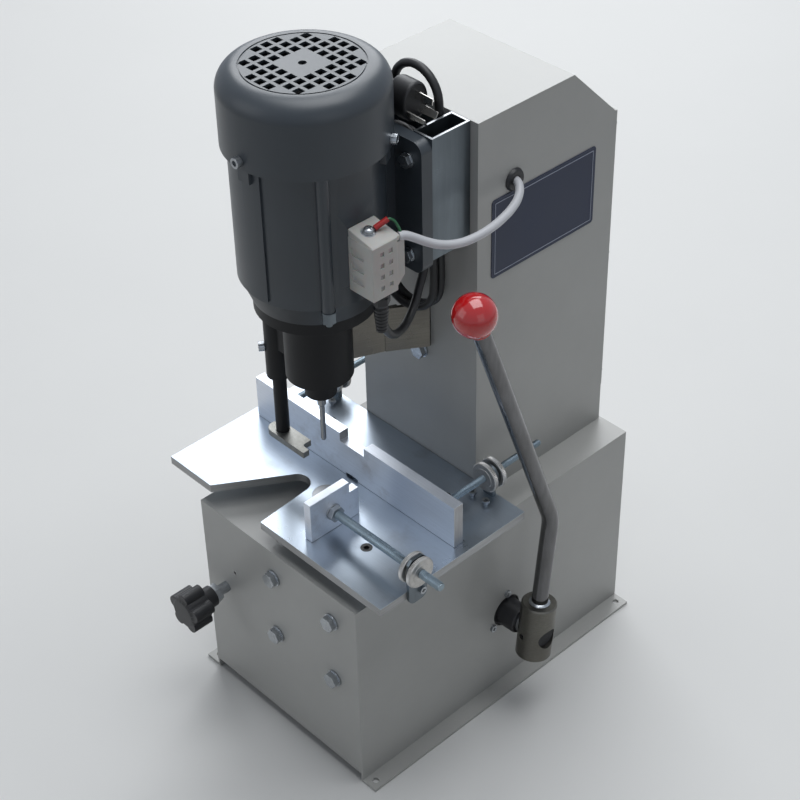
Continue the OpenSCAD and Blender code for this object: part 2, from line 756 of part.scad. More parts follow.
// Motor body with its foot, tie bolt ridges, cover ears and terminal seat
module motor_body() {
    h = motor_z1 - motor_z0;
    color([0.23, 0.25, 0.28]) difference() {
        union() {
            translate([drill_x, drill_y, motor_z0]) {
                bar(motor_r, h);
                for (a = tie_a) rotate([0, 0, a]) translate([tie_r, 0, 0]) bar(tie_d, h);
                for (a = cover_a) rotate([0, 0, a])
                    block([40, -6, h - 12], [cover_r - cover_t - 0.4, 6, h + 13]);
                intersection() {
                    translate([0, 0, 3]) bar(motor_r + pad_t, h - 3);
                    linear_extrude(h) polygon([[0, 0],
                        for (a = [tie_a[0], (tie_a[0] + pad_a) / 2, pad_a])
                            80 * [cos(a), sin(a)]]);
                }
            }
            translate([drill_x, mount_y0, (foot_z0 + foot_z1) / 2])
                rotate([-90, 0, 0])
                    linear_extrude(mount_y1 - mount_y0)
                        round_rect(2 * mount_dx, foot_z1 - foot_z0, 9);
            for (s = [-1, 1])
                block([drill_x + s * 34 - 5, drill_y + 30, foot_z0 + 6],
                    [drill_x + s * 34 + 5, mount_y0 + 1, foot_z1 - 8]);
            block([drill_x + 40, drill_y - 21, flange_z + 45],
                [drill_x + 69, drill_y + 13, flange_z + 112]);
        }
        translate([drill_x, drill_y, motor_z0 - 1]) {
            bar(30, h - 14);
            bar(shaft_r + 1, h + 30);
            for (a = tie_a) rotate([0, 0, a]) translate([tie_r, 0, 0]) bar(tie_d / 2, h - 9);
        }
        block([drill_x - 20, mount_y1, motor_z0 - 1], [drill_x + 20, mount_y1 + 9, motor_z1 + 1]);
        at_cover_ears() translate([0, 0, -8]) bar(2.5, 10);
        at_foot_bolts() translate([0, 0, -14]) bar(3, 16);
    }
}

module at_cover_ears() {
    for (a = cover_a)
        translate([drill_x, drill_y, motor_z1 + 7]) rotate([0, 0, a])
            translate([cover_r, 0, 0]) rotate([0, 90, 0]) children();
}

// End shield of the motor, tapered towards the flange
module end_shield() {
    h = motor_z0 - shield_z;
    color([0.23, 0.25, 0.28]) translate([drill_x, drill_y, shield_z]) difference() {
        union() {
            cylinder(r1 = 50.5, r2 = motor_r - 0.8, h = h);
        }
        translate([0, 0, -1]) bar(shaft_r + 1, h + 2);
        for (a = tie_a) rotate([0, 0, a])
            translate([tie_r, 0, -1]) bar(tie_nut / 2 + 1.3, h + 2);
    }
}

// Pressed fan cover: round shoulder, disc with a grille of square holes
module fan_cover() {
    c = cover_r - cover_round;
    z = cover_h - cover_round;
    color([0.22, 0.24, 0.27]) translate([drill_x, drill_y, motor_z1]) difference() {
        rotate_extrude() difference() {
            union() {
                square([cover_r, z]);
                square([c, cover_h]);
                intersection() {
                    translate([c, z]) circle(cover_round);
                    square([cover_r, cover_h]);
                }
            }
            translate([0, -1]) square([cover_r - cover_t, z + 1]);
            translate([0, -1]) square([c, cover_h - cover_t + 1]);
            intersection() {
                translate([c, z]) circle(cover_round - cover_t);
                square([cover_r, cover_h]);
            }
        }
        difference() {
            translate([0, 0, cover_h - 0.8]) bar(grille_r + 1.4, 2);
            translate([0, 0, cover_h - 1]) bar(grille_r, 3);
        }
        for (i = [-4 : 4], j = [-4 : 4])
            if (max(abs(i), abs(j)) > 1
                && (max(abs(i), abs(j)) < 4 || min(abs(i), abs(j)) < 2))
                translate([i * 10, j * 10, cover_h]) cube([7, 7, 8], center = true);
        translate([0, 0, cover_h - 5]) bar(3.2, 8);
        for (a = cover_a) rotate([0, 0, a])
            translate([cover_r - 5, 0, 7]) rotate([0, 90, 0]) bar(2.5, 8);
    }
}

// Screws of the fan cover, of the presser lug and of the rear bracket
module head_screws() {
    color([0.70, 0.71, 0.72]) {
        at_cover_ears() cap_screw(2.5, 8);
        at_lug_screw() cap_screw(2.5, 4);
        at_bracket_screws() cap_screw(2.5, 10);
    }
}

module at_lug_screw() {
    translate([press_x, press_y, flange_z - 72]) rotate([0, 0, 235])
        translate([lug_r, 0, 0]) rotate([0, 90, 0]) children();
}

// Direction of the rear bracket's long limb, seen from above
bracket_a = atan2(69, 31);

module at_bracket_screws() {
    translate([drill_x, drill_y, flange_z - 56]) rotate([0, 0, bracket_a])
        for (u = [-6, 6])
            translate([u, quill_r - 0.8, 0]) rotate([-90, 0, 0]) children();
}

// Four long bolts that hold shield and body together
module tie_bolts() {
    color([0.68, 0.69, 0.70]) translate([drill_x, drill_y, 0]) for (a = tie_a)
        rotate([0, 0, a]) translate([tie_r, 0, motor_z0]) {
            translate([0, 0, -13.5]) bar(tie_d / 2, motor_z1 - motor_z0 + 3);
            translate([0, 0, -1]) bar(tie_nut / 2 + 0.6, 1);
            translate([0, 0, -10]) cylinder(d = tie_nut / cos(30), h = 9, $fn = 6);
        }
}

// Spindle housing: flange under the motor, round body, lug for the presser rod
module spindle_housing() {
    color([0.22, 0.23, 0.25]) difference() {
        union() {
            translate([drill_x, drill_y, quill_z0]) bar(quill_r, flange_z - quill_z0);
            translate([0, 0, flange_z]) linear_extrude(shield_z - flange_z) hull() {
                translate([drill_x, drill_y]) circle(49.5);
                translate([press_x, press_y]) circle(lug_r + 1.5);
            }
            translate([press_x, press_y, lug_z0]) bar(lug_r, flange_z - lug_z0);
            block([press_x, press_y - 6, quill_z0], [drill_x - 12, press_y + 6, flange_z]);
        }
        translate([drill_x, drill_y, quill_z0 - 1]) {
            bar(shaft_r + 1, shield_z - quill_z0 + 2);
            bar(17.5, 15);
        }
        translate([drill_x, drill_y, flange_z - 6]) bar(17.5, 20);
        translate([press_x, press_y, lug_z0 - 1]) bar(press_r + fit, flange_z - lug_z0 - 3);
        at_lug_screw() translate([0, 0, -4]) bar(2.5, 6);
        translate([drill_x, drill_y, quill_z0 - 1]) rotate([0, 0, bracket_a])
            block([-16, quill_r - 3.8, 0], [40, quill_r + 10, 30]);
        at_bracket_screws() translate([0, 0, -10]) bar(2.5, 12);
    }
}

// Ball bearing rings of the spindle
module spindle_bearings() {
    color([0.74, 0.75, 0.76]) for (z = [quill_z0 + 3, flange_z - 6])
        translate([drill_x, drill_y, z]) difference() {
            bar(17.5, 11);
            translate([0, 0, -1]) bar(shaft_r + fit, 13);
        }
}

// Bent sheet bracket behind the spindle, on which the cable's loops rest
module rear_bracket() {
    color([0.70, 0.72, 0.73]) difference() {
        union() {
            translate([drill_x, drill_y, 0]) rotate([0, 0, bracket_a])
                block([-12, quill_r - 3.8, flange_z - 85], [75.9, quill_r - 0.8, flange_z - 41.5]);
            translate([-5.4, -30.6, flange_z - 85]) linear_extrude(43.5)
                polygon([[0, 0], [2.7, -1.2], [23.4, 30.4], [22.6, 32.6], [20.2, 32.6]]);
        }
        at_bracket_screws() translate([0, 0, -6]) bar(2.5, 12);
    }
}

// Terminal block on the motor's side, with its ear for the earth screw
module terminal_block() {
    x0 = drill_x + 69;
    z0 = flange_z + 46;
    color([0.86, 0.82, 0.70]) difference() {
        union() {
            block([x0, drill_y - 17, z0], [x0 + 18, drill_y + 8, z0 + 46.5]);
            side_profile(x0, x0 + 6) polygon([
                [drill_y - 23, z0 + 30], [drill_y - 17, z0 + 22], [drill_y - 1, z0 + 22],
                [drill_y - 1, z0 + 60], [drill_y - 6, z0 + 68], [drill_y - 18, z0 + 68],
                [drill_y - 23, z0 + 62]]);
            side_profile(x0, x0 + 12) polygon([
                [drill_y + 8, z0 + 2], [drill_y + 12.7, z0 + 5], [drill_y + 12.7, z0 + 42],
                [drill_y + 8, z0 + 45]]);
        }
        for (i = [0 : 3], j = [0, 1])
            translate([x0 + 12, drill_y - 12.6 + 5.4 * i, z0 + 14 + 18 * j])
                rotate([0, 90, 0]) bar(1.9, 8);
        at_earth() translate([0, 0, -14]) bar(2.5, 16);
        translate([gland_x, gland_y, gland_z + 8]) bar(5, 12);
    }
}

module at_earth() {
    translate([drill_x + 75, drill_y - 11.8, flange_z + 104]) rotate([0, 90, 0]) children();
}

// Earth screw with washer and ring terminal
module earth_terminal() {
    color([0.74, 0.72, 0.66]) at_earth() {
        translate([0, 0, -6]) bar(2.5, 6);
        bar(5, 1);
        translate([0, 0, 1]) bar(4.4, 0.8);
        translate([0, 0, 1.8]) difference() {
            bar(4, 2.6);
            translate([0, 0, 2.4]) cube([9, 0.9, 2], center = true);
        }
    }
}

// Cable gland under the terminal block
module mains_gland() {
    color([0.08, 0.08, 0.08]) translate([gland_x, gland_y, gland_z]) difference() {
        union() {
            cylinder(r1 = 5, r2 = 6.4, h = 4);
            translate([0, 0, 4]) cylinder(d = 15, h = 6, $fn = 6);
            translate([0, 0, 10]) bar(6.4, 4);
            translate([0, 0, 14]) bar(5, 6);
        }
        translate([0, 0, -1]) bar(cable_r - 0.5, 1);
    }
}

// Mains cable in one length
module mains_cable() {
    color([0.05, 0.05, 0.05]) swept_tube(mains_path, cable_r, cable_sides);
}

// Moulded plug with three flat pins
module mains_plug() {
    color([0.05, 0.05, 0.05]) translate([plug_x, plug_y, plug_z]) {
        rotate([90, 0, 90]) linear_extrude(34) round_rect(20, 32, 8.5);
        translate([-1, 0, 0]) rotate([0, 90, 0]) cylinder(r1 = 4.6, r2 = 6.5, h = 1);
        translate([34, 0, 7.5]) cube_at([16, 1.6, 5.4]);
        translate([34, 0, -7.5]) cube_at([16, 1.6, 5.4]);
        translate([34, 4, 0]) cube_at([16, 5.4, 1.6]);
    }
}

module cube_at(s) {
    translate([0, -s[1] / 2, -s[2] / 2]) cube(s);
}

// Round cable between the motor's terminal block and the tower
module motor_cable() {
    color([0.90, 0.90, 0.88]) swept_tube(motor_path, cable_r, 8);
}

// Pressure springs round the guide rods that lift the head
module return_springs() {
    color([0.60, 0.61, 0.62]) for (s = [-1, 1])
        translate([drill_x + s * rod_dx, rod_y, 0])
            swept_tube(coil_path(guide_d / 2 + 2.2, lower_z1 + 1.3, slide_z0 - 1.3, 9, 8), 1.2, 6);
}

// Spring above the presser rod
module presser_spring() {
    color([0.60, 0.61, 0.62]) translate([press_x, press_y, 0])
        swept_tube(coil_path(4.4, press_z1 + 0.8, flange_z - 4.8, 6, 8), 0.7, 6);
}

// Spindle with its rotor and the nose that clamps the drill
module spindle() {
    color([0.76, 0.77, 0.78]) translate([drill_x, drill_y, 0]) difference() {
        union() {
            translate([0, 0, nose_z0]) cylinder(r1 = nose_r - 1, r2 = nose_r, h = 1);
            translate([0, 0, nose_z0 + 1]) bar(nose_r, quill_z0 - gap - nose_z0 - 1);
            translate([0, 0, quill_z0 - gap]) bar(shaft_r, motor_z1 + 33 - quill_z0 + gap);
            translate([0, 0, motor_z0 + 15]) bar(29.6, motor_z1 - motor_z0 - 34);
        }
        translate([0, 0, nose_z0 - 1]) bar(3.5, 15);
        translate([0, 0, nose_z0 + 8]) rotate([0, 0, 235]) rotate([0, 90, 0]) bar(2, 20);
    }
}

// Fan on the spindle's upper end
module cooling_fan() {
    color([0.10, 0.10, 0.11]) translate([drill_x, drill_y, motor_z1 + 17]) {
        difference() {
            union() {
                bar(14, 14);
                bar(40, 1.6);
                for (a = [0 : 60 : 300]) rotate([0, 0, a])
                    block([12, -0.9, 0], [52, 0.9, 13]);
            }
            translate([0, 0, -1]) bar(shaft_r, 16);
        }
    }
}

// Hollow drill: round shank in the nose, thin cutting tube below
module drill_bit() {
    color([0.80, 0.81, 0.82]) translate([drill_x, drill_y, 0]) difference() {
        union() {
            translate([0, 0, nose_z0 - 12]) bar(3.5, 26);
            translate([0, 0, nose_z0 - 14]) cylinder(r1 = drill_d / 2, r2 = 3.5, h = 2);
            translate([0, 0, tip_z + 1.5]) bar(drill_d / 2, nose_z0 - 14 - tip_z - 1.5);
            translate([0, 0, tip_z])
                cylinder(r1 = drill_d / 2 - 0.5, r2 = drill_d / 2, h = 1.5);
        }
        translate([0, 0, tip_z - 1]) bar(drill_d / 2 - 0.6, 24);
    }
}

// Presser rod that slides in the lug
module presser_rod() {
    color([0.78, 0.79, 0.80]) translate([press_x, press_y, press_z0 + press_t])
        bar(press_r, press_z1 - press_z0 - press_t);
}

// Presser foot: flat finger with a stepped tip beside the drill
module presser_foot() {
    color([0.66, 0.67, 0.68]) translate([0, 0, press_z0]) linear_extrude(press_t) {
        translate([finger_x, drill_y - 1.5]) circle(8.2);
        translate([finger_x, drill_y - 9.7]) square([drill_x - 25.2 - finger_x, 16.4]);
        translate([press_x, drill_y - 9.7]) square([drill_x - 16.5 - press_x, 6.6]);
        difference() {
            translate([drill_x - 25.3, drill_y - 3.2]) square([3.1, 3]);
            translate([drill_x - 22.2, drill_y - 0.1]) circle(3);
        }
    }
}

// Cross shaft of the lever, with a collar inside the base
module lever_shaft() {
    color([0.72, 0.73, 0.74]) translate([0, shaft_y, shaft_z]) rotate([0, 90, 0]) {
        bar(shaft_d / 2, lever_x + hub_r);
        translate([0, 0, web_x[1] + web_t + gap]) bar(shaft_d / 2 + 5, 8);
    }
}

// Crank on the shaft, with the pin of its roller
module crank_arm() {
    a = asin(stroke / 2 / crank_l);
    color([0.55, 0.56, 0.58]) translate([crank_x0, shaft_y, shaft_z]) rotate([-a, 0, 0])
        difference() {
            union() {
                rotate([90, 0, 90]) linear_extrude(crank_t) {
                    circle(21);
                    polygon([[0, 20], [-crank_l, 11.5], [-crank_l, -11.5], [0, -20]]);
                    translate([-crank_l, 0]) circle(12);
                }
                translate([plate_x0 - 0.5 - crank_x0, -crank_l, 0]) rotate([0, 90, 0])
                    bar(4, crank_x0 - plate_x0 + 1);
            }
            translate([-1, 0, 0]) rotate([0, 90, 0]) bar(shaft_d / 2, crank_t + 2);
        }
}

// Roller on the crank pin
module crank_roller() {
    color([0.75, 0.76, 0.77]) translate([plate_x0 - 0.5, roller_y, roller_z])
        rotate([0, 90, 0]) difference() {
            bar(roller_r, plate_t + 1);
            translate([0, 0, -1]) bar(4, plate_t + 3);
        }
}

// Round hub across the shaft's end
module lever_hub() {
    color([0.52, 0.50, 0.46]) at_lever() difference() {
        union() {
            translate([0, 0, -24]) bar(hub_r, 56);
            translate([0, 0, -25]) cylinder(r1 = hub_r - 1, r2 = hub_r, h = 1);
            translate([0, 0, 32]) cylinder(r1 = hub_r, r2 = hub_r - 1, h = 1);
        }
        translate([-hub_r - 1, 0, 0]) rotate([0, 90, 0]) bar(shaft_d / 2, 2 * hub_r + 2);
        translate([0, 0, 12]) bar(lever_d / 2, 22);
        translate([hub_r + 1, 0, 20]) rotate([0, -90, 0]) bar(2.6, 12);
    }
}

module at_lever() {
    translate([lever_x, shaft_y, shaft_z]) rotate([-lever_lean, 0, 0]) children();
}

// Bent round rod of the lever with its collar
module lever_rod() {
    color([0.74, 0.75, 0.76]) at_lever() {
        translate([0, 0, 12]) bar(lever_d / 2, lever_lower - bend_t - 12);
        translate([0, 0, 33]) bar(9.5, 4);
        translate([0, -bend_r, lever_lower - bend_t]) {
            rotate([90, 0, 90])
                rotate_extrude(angle = lever_bend) translate([bend_r, 0]) circle(lever_d / 2);
            rotate([lever_bend, 0, 0]) translate([0, bend_r, 0])
                bar(lever_d / 2, lever_upper - bend_t - 6);
        }
    }
}

// Ball grip
module lever_ball() {
    color([0.72, 0.05, 0.07]) at_lever()
        translate([0, 0, lever_lower]) rotate([lever_bend, 0, 0])
            difference() {
                union() {
                    translate([0, 0, lever_upper]) sphere(d = ball_d);
                    translate([0, 0, lever_upper - ball_d / 2 - 1]) bar(9, 5);
                }
                translate([0, 0, lever_upper - 40]) bar(lever_d / 2, 34);
            }
}

// Fence bar with the notch for the drill
module fence_bar() {
    color([0.76, 0.78, 0.80]) difference() {
        block([drill_x - fence_l / 2, fence_y, table_z + gap],
            [drill_x + fence_l / 2, fence_y + fence_t, table_z + fence_h]);
        block([drill_x - 14, fence_y - 1, table_z + fence_h - 9],
            [drill_x + 16.5, fence_y + fence_t + 1, table_z + fence_h + 1]);
        block([drill_x - 7.3, fence_y - 1, table_z - 1],
            [drill_x + 7.4, fence_y + fence_t + 1, table_z + 2.8]);
        for (s = [-1, 1])
            translate([drill_x + s * fence_dx, fence_y + fence_t + 1, fence_rod_z])
                rotate([90, 0, 0]) bar(fence_rod_r, fence_t - 1);
    }
}

// Two rods behind the fence
module fence_rods() {
    color([0.72, 0.73, 0.74]) for (s = [-1, 1])
        translate([drill_x + s * fence_dx, 60, fence_rod_z]) rotate([90, 0, 0])
            bar(fence_rod_r, 60 - fence_y - 2);
}

module fence_nut_pair(s) {
    color([0.72, 0.73, 0.74]) for (y = [tab_y0 - 0.5, tab_y1 + 0.5 + nut_t])
        translate([drill_x + s * fence_dx, y, fence_rod_z]) rotate([90, 0, 0])
            knurled_nut(fence_rod_r + fit);
}

// Knurled nuts before and behind the left bracket
module fence_nuts_left() {
    fence_nut_pair(-1);
}

// Knurled nuts before and behind the right bracket
module fence_nuts_right() {
    fence_nut_pair(1);
}

// Side guide: upright plate with a stepped rear corner
module side_guide() {
    h = table_z + guide_h;
    color([0.74, 0.76, 0.78]) difference() {
        side_profile(guide_x, guide_x + guide_t) polygon([
            [guide_y0, table_z + gap], [guide_y1, table_z + gap], [guide_y1, h - 11], [guide_y1 - 10, h - 11],
            [guide_y1 - 10, h], [guide_y0, h]]);
        translate([guide_x - 1, guide_rod_y, guide_rod_z])
            rotate([0, 90, 0]) bar(guide_rod_r, guide_t + 2);
    }
}

// Rod of the side guide with its fixed nut
module guide_rod() {
    color([0.72, 0.73, 0.74]) translate([guide_x, guide_rod_y, guide_rod_z])
        rotate([0, 90, 0]) {
            bar(guide_rod_r, 136.5);
            translate([0, 0, guide_t]) bar(7.5, 1.2);
            translate([0, 0, guide_t + 1.2]) cylinder(d = 13 / cos(30), h = 5.2, $fn = 6);
        }
}

// Knurled nuts at both sides of the edge bracket
module guide_nuts() {
    color([0.72, 0.73, 0.74]) for (x = [table_x1 - 0.5 - nut_t, table_x1 + edge_t + 0.5])
        translate([x, guide_rod_y, guide_rod_z]) rotate([0, 90, 0])
            knurled_nut(guide_rod_r + fit);
}

// Star knob with five lobes
module star_knob() {
    color([0.06, 0.06, 0.07]) translate([knob_x, knob_y, knob_z]) rotate([90, 0, 0])
        difference() {
            union() {
                bar(10, 12);
                translate([0, 0, 12]) linear_extrude(20) {
                    circle(15);
                    for (a = [18 : 72 : 306]) rotate([0, 0, a]) translate([13.5, 0]) circle(6.5);
                }
                translate([0, 0, 32]) cylinder(r1 = 15, r2 = 12, h = 1.5);
            }
            translate([0, 0, -1]) bar(screw_r, 25);
        }
}

// Depth screw with its nut outside and its collar inside the front panel
module depth_screw() {
    color([0.72, 0.73, 0.74]) translate([knob_x, front_y, knob_z]) rotate([90, 0, 0]) {
        translate([0, 0, -68]) bar(screw_r, 109);
        translate([0, 0, gap]) cylinder(d = 16 / cos(30), h = 6, $fn = 6);
        translate([0, 0, -wall - gap - 5]) bar(9, 5);
    }
}

// Stop block on the depth screw: its sloping foot lies under the lift plate
module stop_block() {
    x0 = -side_x + wall + 0.5;
    color([0.60, 0.61, 0.62]) difference() {
        union() {
            block([x0, front_y + 37, knob_z - 12], [knob_x + 13, front_y + 57, knob_z + 12]);
            block([x0, front_y + 37, 26], [x0 + 9, front_y + 57, knob_z - 12]);
            side_profile(x0, plate_x0 + plate_t + 3) polygon([
                [front_y + 34, 22], [front_y + 60, 22],
                [front_y + 60, plate_z0 - stroke - 0.8], [front_y + 34, plate_z0 - stroke - 3.8]]);
        }
        translate([knob_x, front_y + 70, knob_z]) rotate([90, 0, 0]) bar(screw_r + fit, 50);
    }
}

base_housing();
base_rear_panel();
tower_housing();
tower_rear_cover();
pan_screws();
front_bolts();
guide_screws();
bearing_plates();
side_bearing();
guide_rods();
guide_blocks();
table_plate();
table_spacers();
table_screws();
drill_pad();
stop_brackets();
data_plate();
cable_grommet();
start_switch();
carriage();
lift_plate();
head_frame();
foot_bolts();
motor_body();
end_shield();
fan_cover();
head_screws();
tie_bolts();
spindle_housing();
spindle_bearings();
rear_bracket();
terminal_block();
earth_terminal();
mains_gland();
mains_cable();
mains_plug();
motor_cable();
return_springs();
presser_spring();
spindle();
cooling_fan();
drill_bit();
presser_rod();
presser_foot();
lever_shaft();
crank_arm();
crank_roller();
lever_hub();
lever_rod();
lever_ball();
fence_bar();
fence_rods();
fence_nuts_left();
fence_nuts_right();
side_guide();
guide_rod();
guide_nuts();
star_knob();
depth_screw();
stop_block();
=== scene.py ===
"""Looks of a desk paper drill: a motor head on a sheet steel tower, a bent lever, a table.

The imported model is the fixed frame. Each sub-assembly is a class that shapes its pieces over
the frame's nodes and gives them their finishes. The model's own unit is the metre; sizes that
are written in millimetres are multiplied by MM.
"""

import json
import logging
import math
from dataclasses import dataclass
from enum import Enum
from typing import Callable, Iterable, Sequence

import bpy
from mathutils import Matrix, Vector

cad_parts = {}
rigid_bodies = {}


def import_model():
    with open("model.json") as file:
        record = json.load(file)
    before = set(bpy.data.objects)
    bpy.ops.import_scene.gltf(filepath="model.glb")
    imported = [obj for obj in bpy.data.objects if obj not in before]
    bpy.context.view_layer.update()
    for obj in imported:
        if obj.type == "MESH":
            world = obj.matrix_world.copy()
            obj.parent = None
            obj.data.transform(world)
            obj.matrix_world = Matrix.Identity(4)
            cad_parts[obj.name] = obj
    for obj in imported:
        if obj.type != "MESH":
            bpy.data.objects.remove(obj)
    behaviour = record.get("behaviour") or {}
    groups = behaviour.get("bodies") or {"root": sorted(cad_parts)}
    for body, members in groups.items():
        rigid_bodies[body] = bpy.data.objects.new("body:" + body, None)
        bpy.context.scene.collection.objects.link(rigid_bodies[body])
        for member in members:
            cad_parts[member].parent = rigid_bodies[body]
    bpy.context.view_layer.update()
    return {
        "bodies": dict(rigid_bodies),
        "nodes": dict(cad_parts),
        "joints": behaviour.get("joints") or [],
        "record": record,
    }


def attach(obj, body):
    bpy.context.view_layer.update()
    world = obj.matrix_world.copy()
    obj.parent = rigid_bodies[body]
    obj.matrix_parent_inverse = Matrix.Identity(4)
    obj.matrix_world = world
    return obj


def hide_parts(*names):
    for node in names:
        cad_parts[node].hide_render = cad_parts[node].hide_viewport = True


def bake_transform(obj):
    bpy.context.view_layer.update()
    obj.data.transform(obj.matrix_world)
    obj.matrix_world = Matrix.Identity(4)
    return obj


log = logging.getLogger("paper_drill")

MM = 0.001
SEAM = 1e-6  # points closer than this, in metres, are one
DRILL_X = -7.5  # the drill's axis, in millimetres
Point = tuple[float, float, float]
Colour = tuple[float, float, float]


class Axis(Enum):
    """Direction along which a grain, a thread or a turned piece runs."""

    X = (1.0, 0.0, 0.0)
    Y = (0.0, 1.0, 0.0)
    Z = (0.0, 0.0, 1.0)

    def turn(self) -> Matrix:
        """Gives the rotation that takes Z to this axis."""
        return Vector((0, 0, 1)).rotation_difference(Vector(self.value)).to_matrix().to_4x4()


class Body(Enum):
    """Bodies of the model that pieces ride on."""

    FRAME = "frame"
    HEAD = "head"
    SPINDLE = "spindle"
    PRESSER = "presser"
    LEVER = "lever"
    FENCE = "fence"
    LEFT_NUT = "fence_nut_left"
    RIGHT_NUT = "fence_nut_right"
    SIDE_STOP = "side_stop"
    GUIDE_NUT = "guide_nut"
    KNOB = "knob"
    STOP = "stop"


class Pick(Enum):
    """What edit mode selects."""

    POINTS = "VERT"
    EDGES = "EDGE"
    FACES = "FACE"


class Fit(Enum):
    """What a tool does to the piece that it meets."""

    CUT = "DIFFERENCE"
    FUSE = "UNION"


# ---- shader groups -------------------------------------------------------------------------


class GroupMaker:
    """Builds one shader node group: sockets first, then nodes and links."""

    def __init__(self, name: str, inputs: Sequence[tuple[str, str, object]],
                 outputs: Sequence[tuple[str, str]]) -> None:
        """Makes the empty group.

        Args:
            name: Name of the group.
            inputs: Name, kind ("Float", "Color" or "Vector") and default of each input.
            outputs: Name and kind of each output.
        """
        self.tree = bpy.data.node_groups.new(name, "ShaderNodeTree")
        for title, kind, default in inputs:
            socket = self.tree.interface.new_socket(
                title, in_out="INPUT", socket_type=f"NodeSocket{kind}")
            socket.default_value = default
        for title, kind in outputs:
            self.tree.interface.new_socket(
                title, in_out="OUTPUT", socket_type=f"NodeSocket{kind}")
        self.source = self.add("NodeGroupInput")
        self.sink = self.add("NodeGroupOutput")

    def add(self, kind: str, **settings: object) -> bpy.types.Node:
        """Adds a node and sets its properties.

        Args:
            kind: Blender's node type.
            **settings: Properties of the node.

        Returns:
            The new node.
        """
        node = self.tree.nodes.new(kind)
        for key, value in settings.items():
            setattr(node, key, value)
        return node

    def link(self, a: bpy.types.NodeSocket, b: bpy.types.NodeSocket) -> None:
        """Joins an output to an input."""
        self.tree.links.new(a, b)

    def put(self, value: object, socket: bpy.types.NodeSocket) -> None:
        """Feeds an input from a socket, or sets it to a plain value.

        Args:
            value: Socket or plain value.
            socket: The input.
        """
        if isinstance(value, bpy.types.NodeSocket):
            self.link(value, socket)
        else:
            socket.default_value = value

    def send(self, socket: bpy.types.NodeSocket, name: str) -> None:
        """Joins a socket to the group's output of that name."""
        self.link(socket, self.sink.inputs[name])

    def math(self, operation: str, a: object, b: object) -> bpy.types.NodeSocket:
        """Adds a math node.

        Args:
            operation: Blender's name of the operation.
            a: Socket or number.
            b: Socket or number.

        Returns:
            The node's output.
        """
        node = self.add("ShaderNodeMath", operation=operation)
        self.put(a, node.inputs[0])
        self.put(b, node.inputs[1])
        return node.outputs[0]

    def place(self) -> bpy.types.NodeSocket:
        """Gives the piece's Object coordinates."""
        return self.add("ShaderNodeTexCoord").outputs["Object"]

    def stretched(self, place: bpy.types.NodeSocket, name: str) -> bpy.types.NodeSocket:
        """Multiplies coordinates by the group's input of that name.

        Args:
            place: The coordinates.
            name: Name of the input.

        Returns:
            The scaled coordinates.
        """
        node = self.add("ShaderNodeVectorMath", operation="MULTIPLY")
        self.link(place, node.inputs[0])
        self.link(self.source.outputs[name], node.inputs[1])
        return node.outputs[0]

    def noise(self, place: bpy.types.NodeSocket, scale: object, detail: float,
              roughness: float = 0.5) -> bpy.types.NodeSocket:
        """Adds a noise texture.

        Args:
            place: Its coordinates.
            scale: Socket or number.
            detail: Number of its finer layers.
            roughness: Weight of those layers.

        Returns:
            The noise, from 0 to 1.
        """
        node = self.add("ShaderNodeTexNoise")
        self.link(place, node.inputs["Vector"])
        self.put(scale, node.inputs["Scale"])
        node.inputs["Detail"].default_value = detail
        node.inputs["Roughness"].default_value = roughness
        return node.outputs[0]

    def bump(self, height: bpy.types.NodeSocket, distance: float) -> None:
        """Makes the group's normal from a height, as strong as its input Depth says.

        Args:
            height: The height.
            distance: Its full depth in metres.
        """
        node = self.add("ShaderNodeBump")
        node.inputs["Distance"].default_value = distance
        self.link(self.source.outputs["Depth"], node.inputs["Strength"])
        self.link(height, node.inputs["Height"])
        self.send(node.outputs[0], "Normal")

    def ramp(self, value: bpy.types.NodeSocket, low: float, high: float) -> bpy.types.NodeSocket:
        """Maps the range low to high onto 0 to 1, clamped.

        Args:
            value: The value to map.
            low: Value that becomes 0.
            high: Value that becomes 1.

        Returns:
            The mask.
        """
        node = self.add("ShaderNodeMapRange")
        self.link(value, node.inputs[0])
        node.inputs[1].default_value = low
        node.inputs[2].default_value = high
        return node.outputs[0]


def speckle_group() -> bpy.types.NodeTree:
    """Makes the group for the fine grain of paint and moulded plastic.

    Returns:
        Group with a bumped normal and a cloudy mask.
    """
    g = GroupMaker("speckle", [("Size", "Float", 900.0), ("Depth", "Float", 0.1),
                               ("Cloud", "Float", 14.0)],
                   [("Normal", "Vector"), ("Cloud", "Float")])
    place = g.place()
    g.bump(g.noise(place, g.source.outputs["Size"], 3.0), 0.0002)
    g.send(g.ramp(g.noise(place, g.source.outputs["Cloud"], 5.0, 0.6), 0.3, 0.7), "Cloud")
    return g.tree


def edge_group() -> bpy.types.NodeTree:
    """Makes the group that finds worn edges.

    Returns:
        Group whose mask is 1 along sharp edges, broken up by noise.
    """
    g = GroupMaker("worn_edges", [("Width", "Float", 0.0006), ("Breakup", "Float", 160.0)],
                   [("Mask", "Float")])
    bevel = g.add("ShaderNodeBevel", samples=4)
    g.link(g.source.outputs["Width"], bevel.inputs["Radius"])
    dot = g.add("ShaderNodeVectorMath", operation="DOT_PRODUCT")
    g.link(bevel.outputs[0], dot.inputs[0])
    g.link(g.add("ShaderNodeNewGeometry").outputs["Normal"], dot.inputs[1])
    edge = g.ramp(g.math("SUBTRACT", 1.0, dot.outputs["Value"]), 0.02, 0.2)
    noise = g.noise(g.place(), g.source.outputs["Breakup"], 4.0)
    g.send(g.math("MULTIPLY", edge, g.ramp(noise, 0.40, 0.62)), "Mask")
    return g.tree


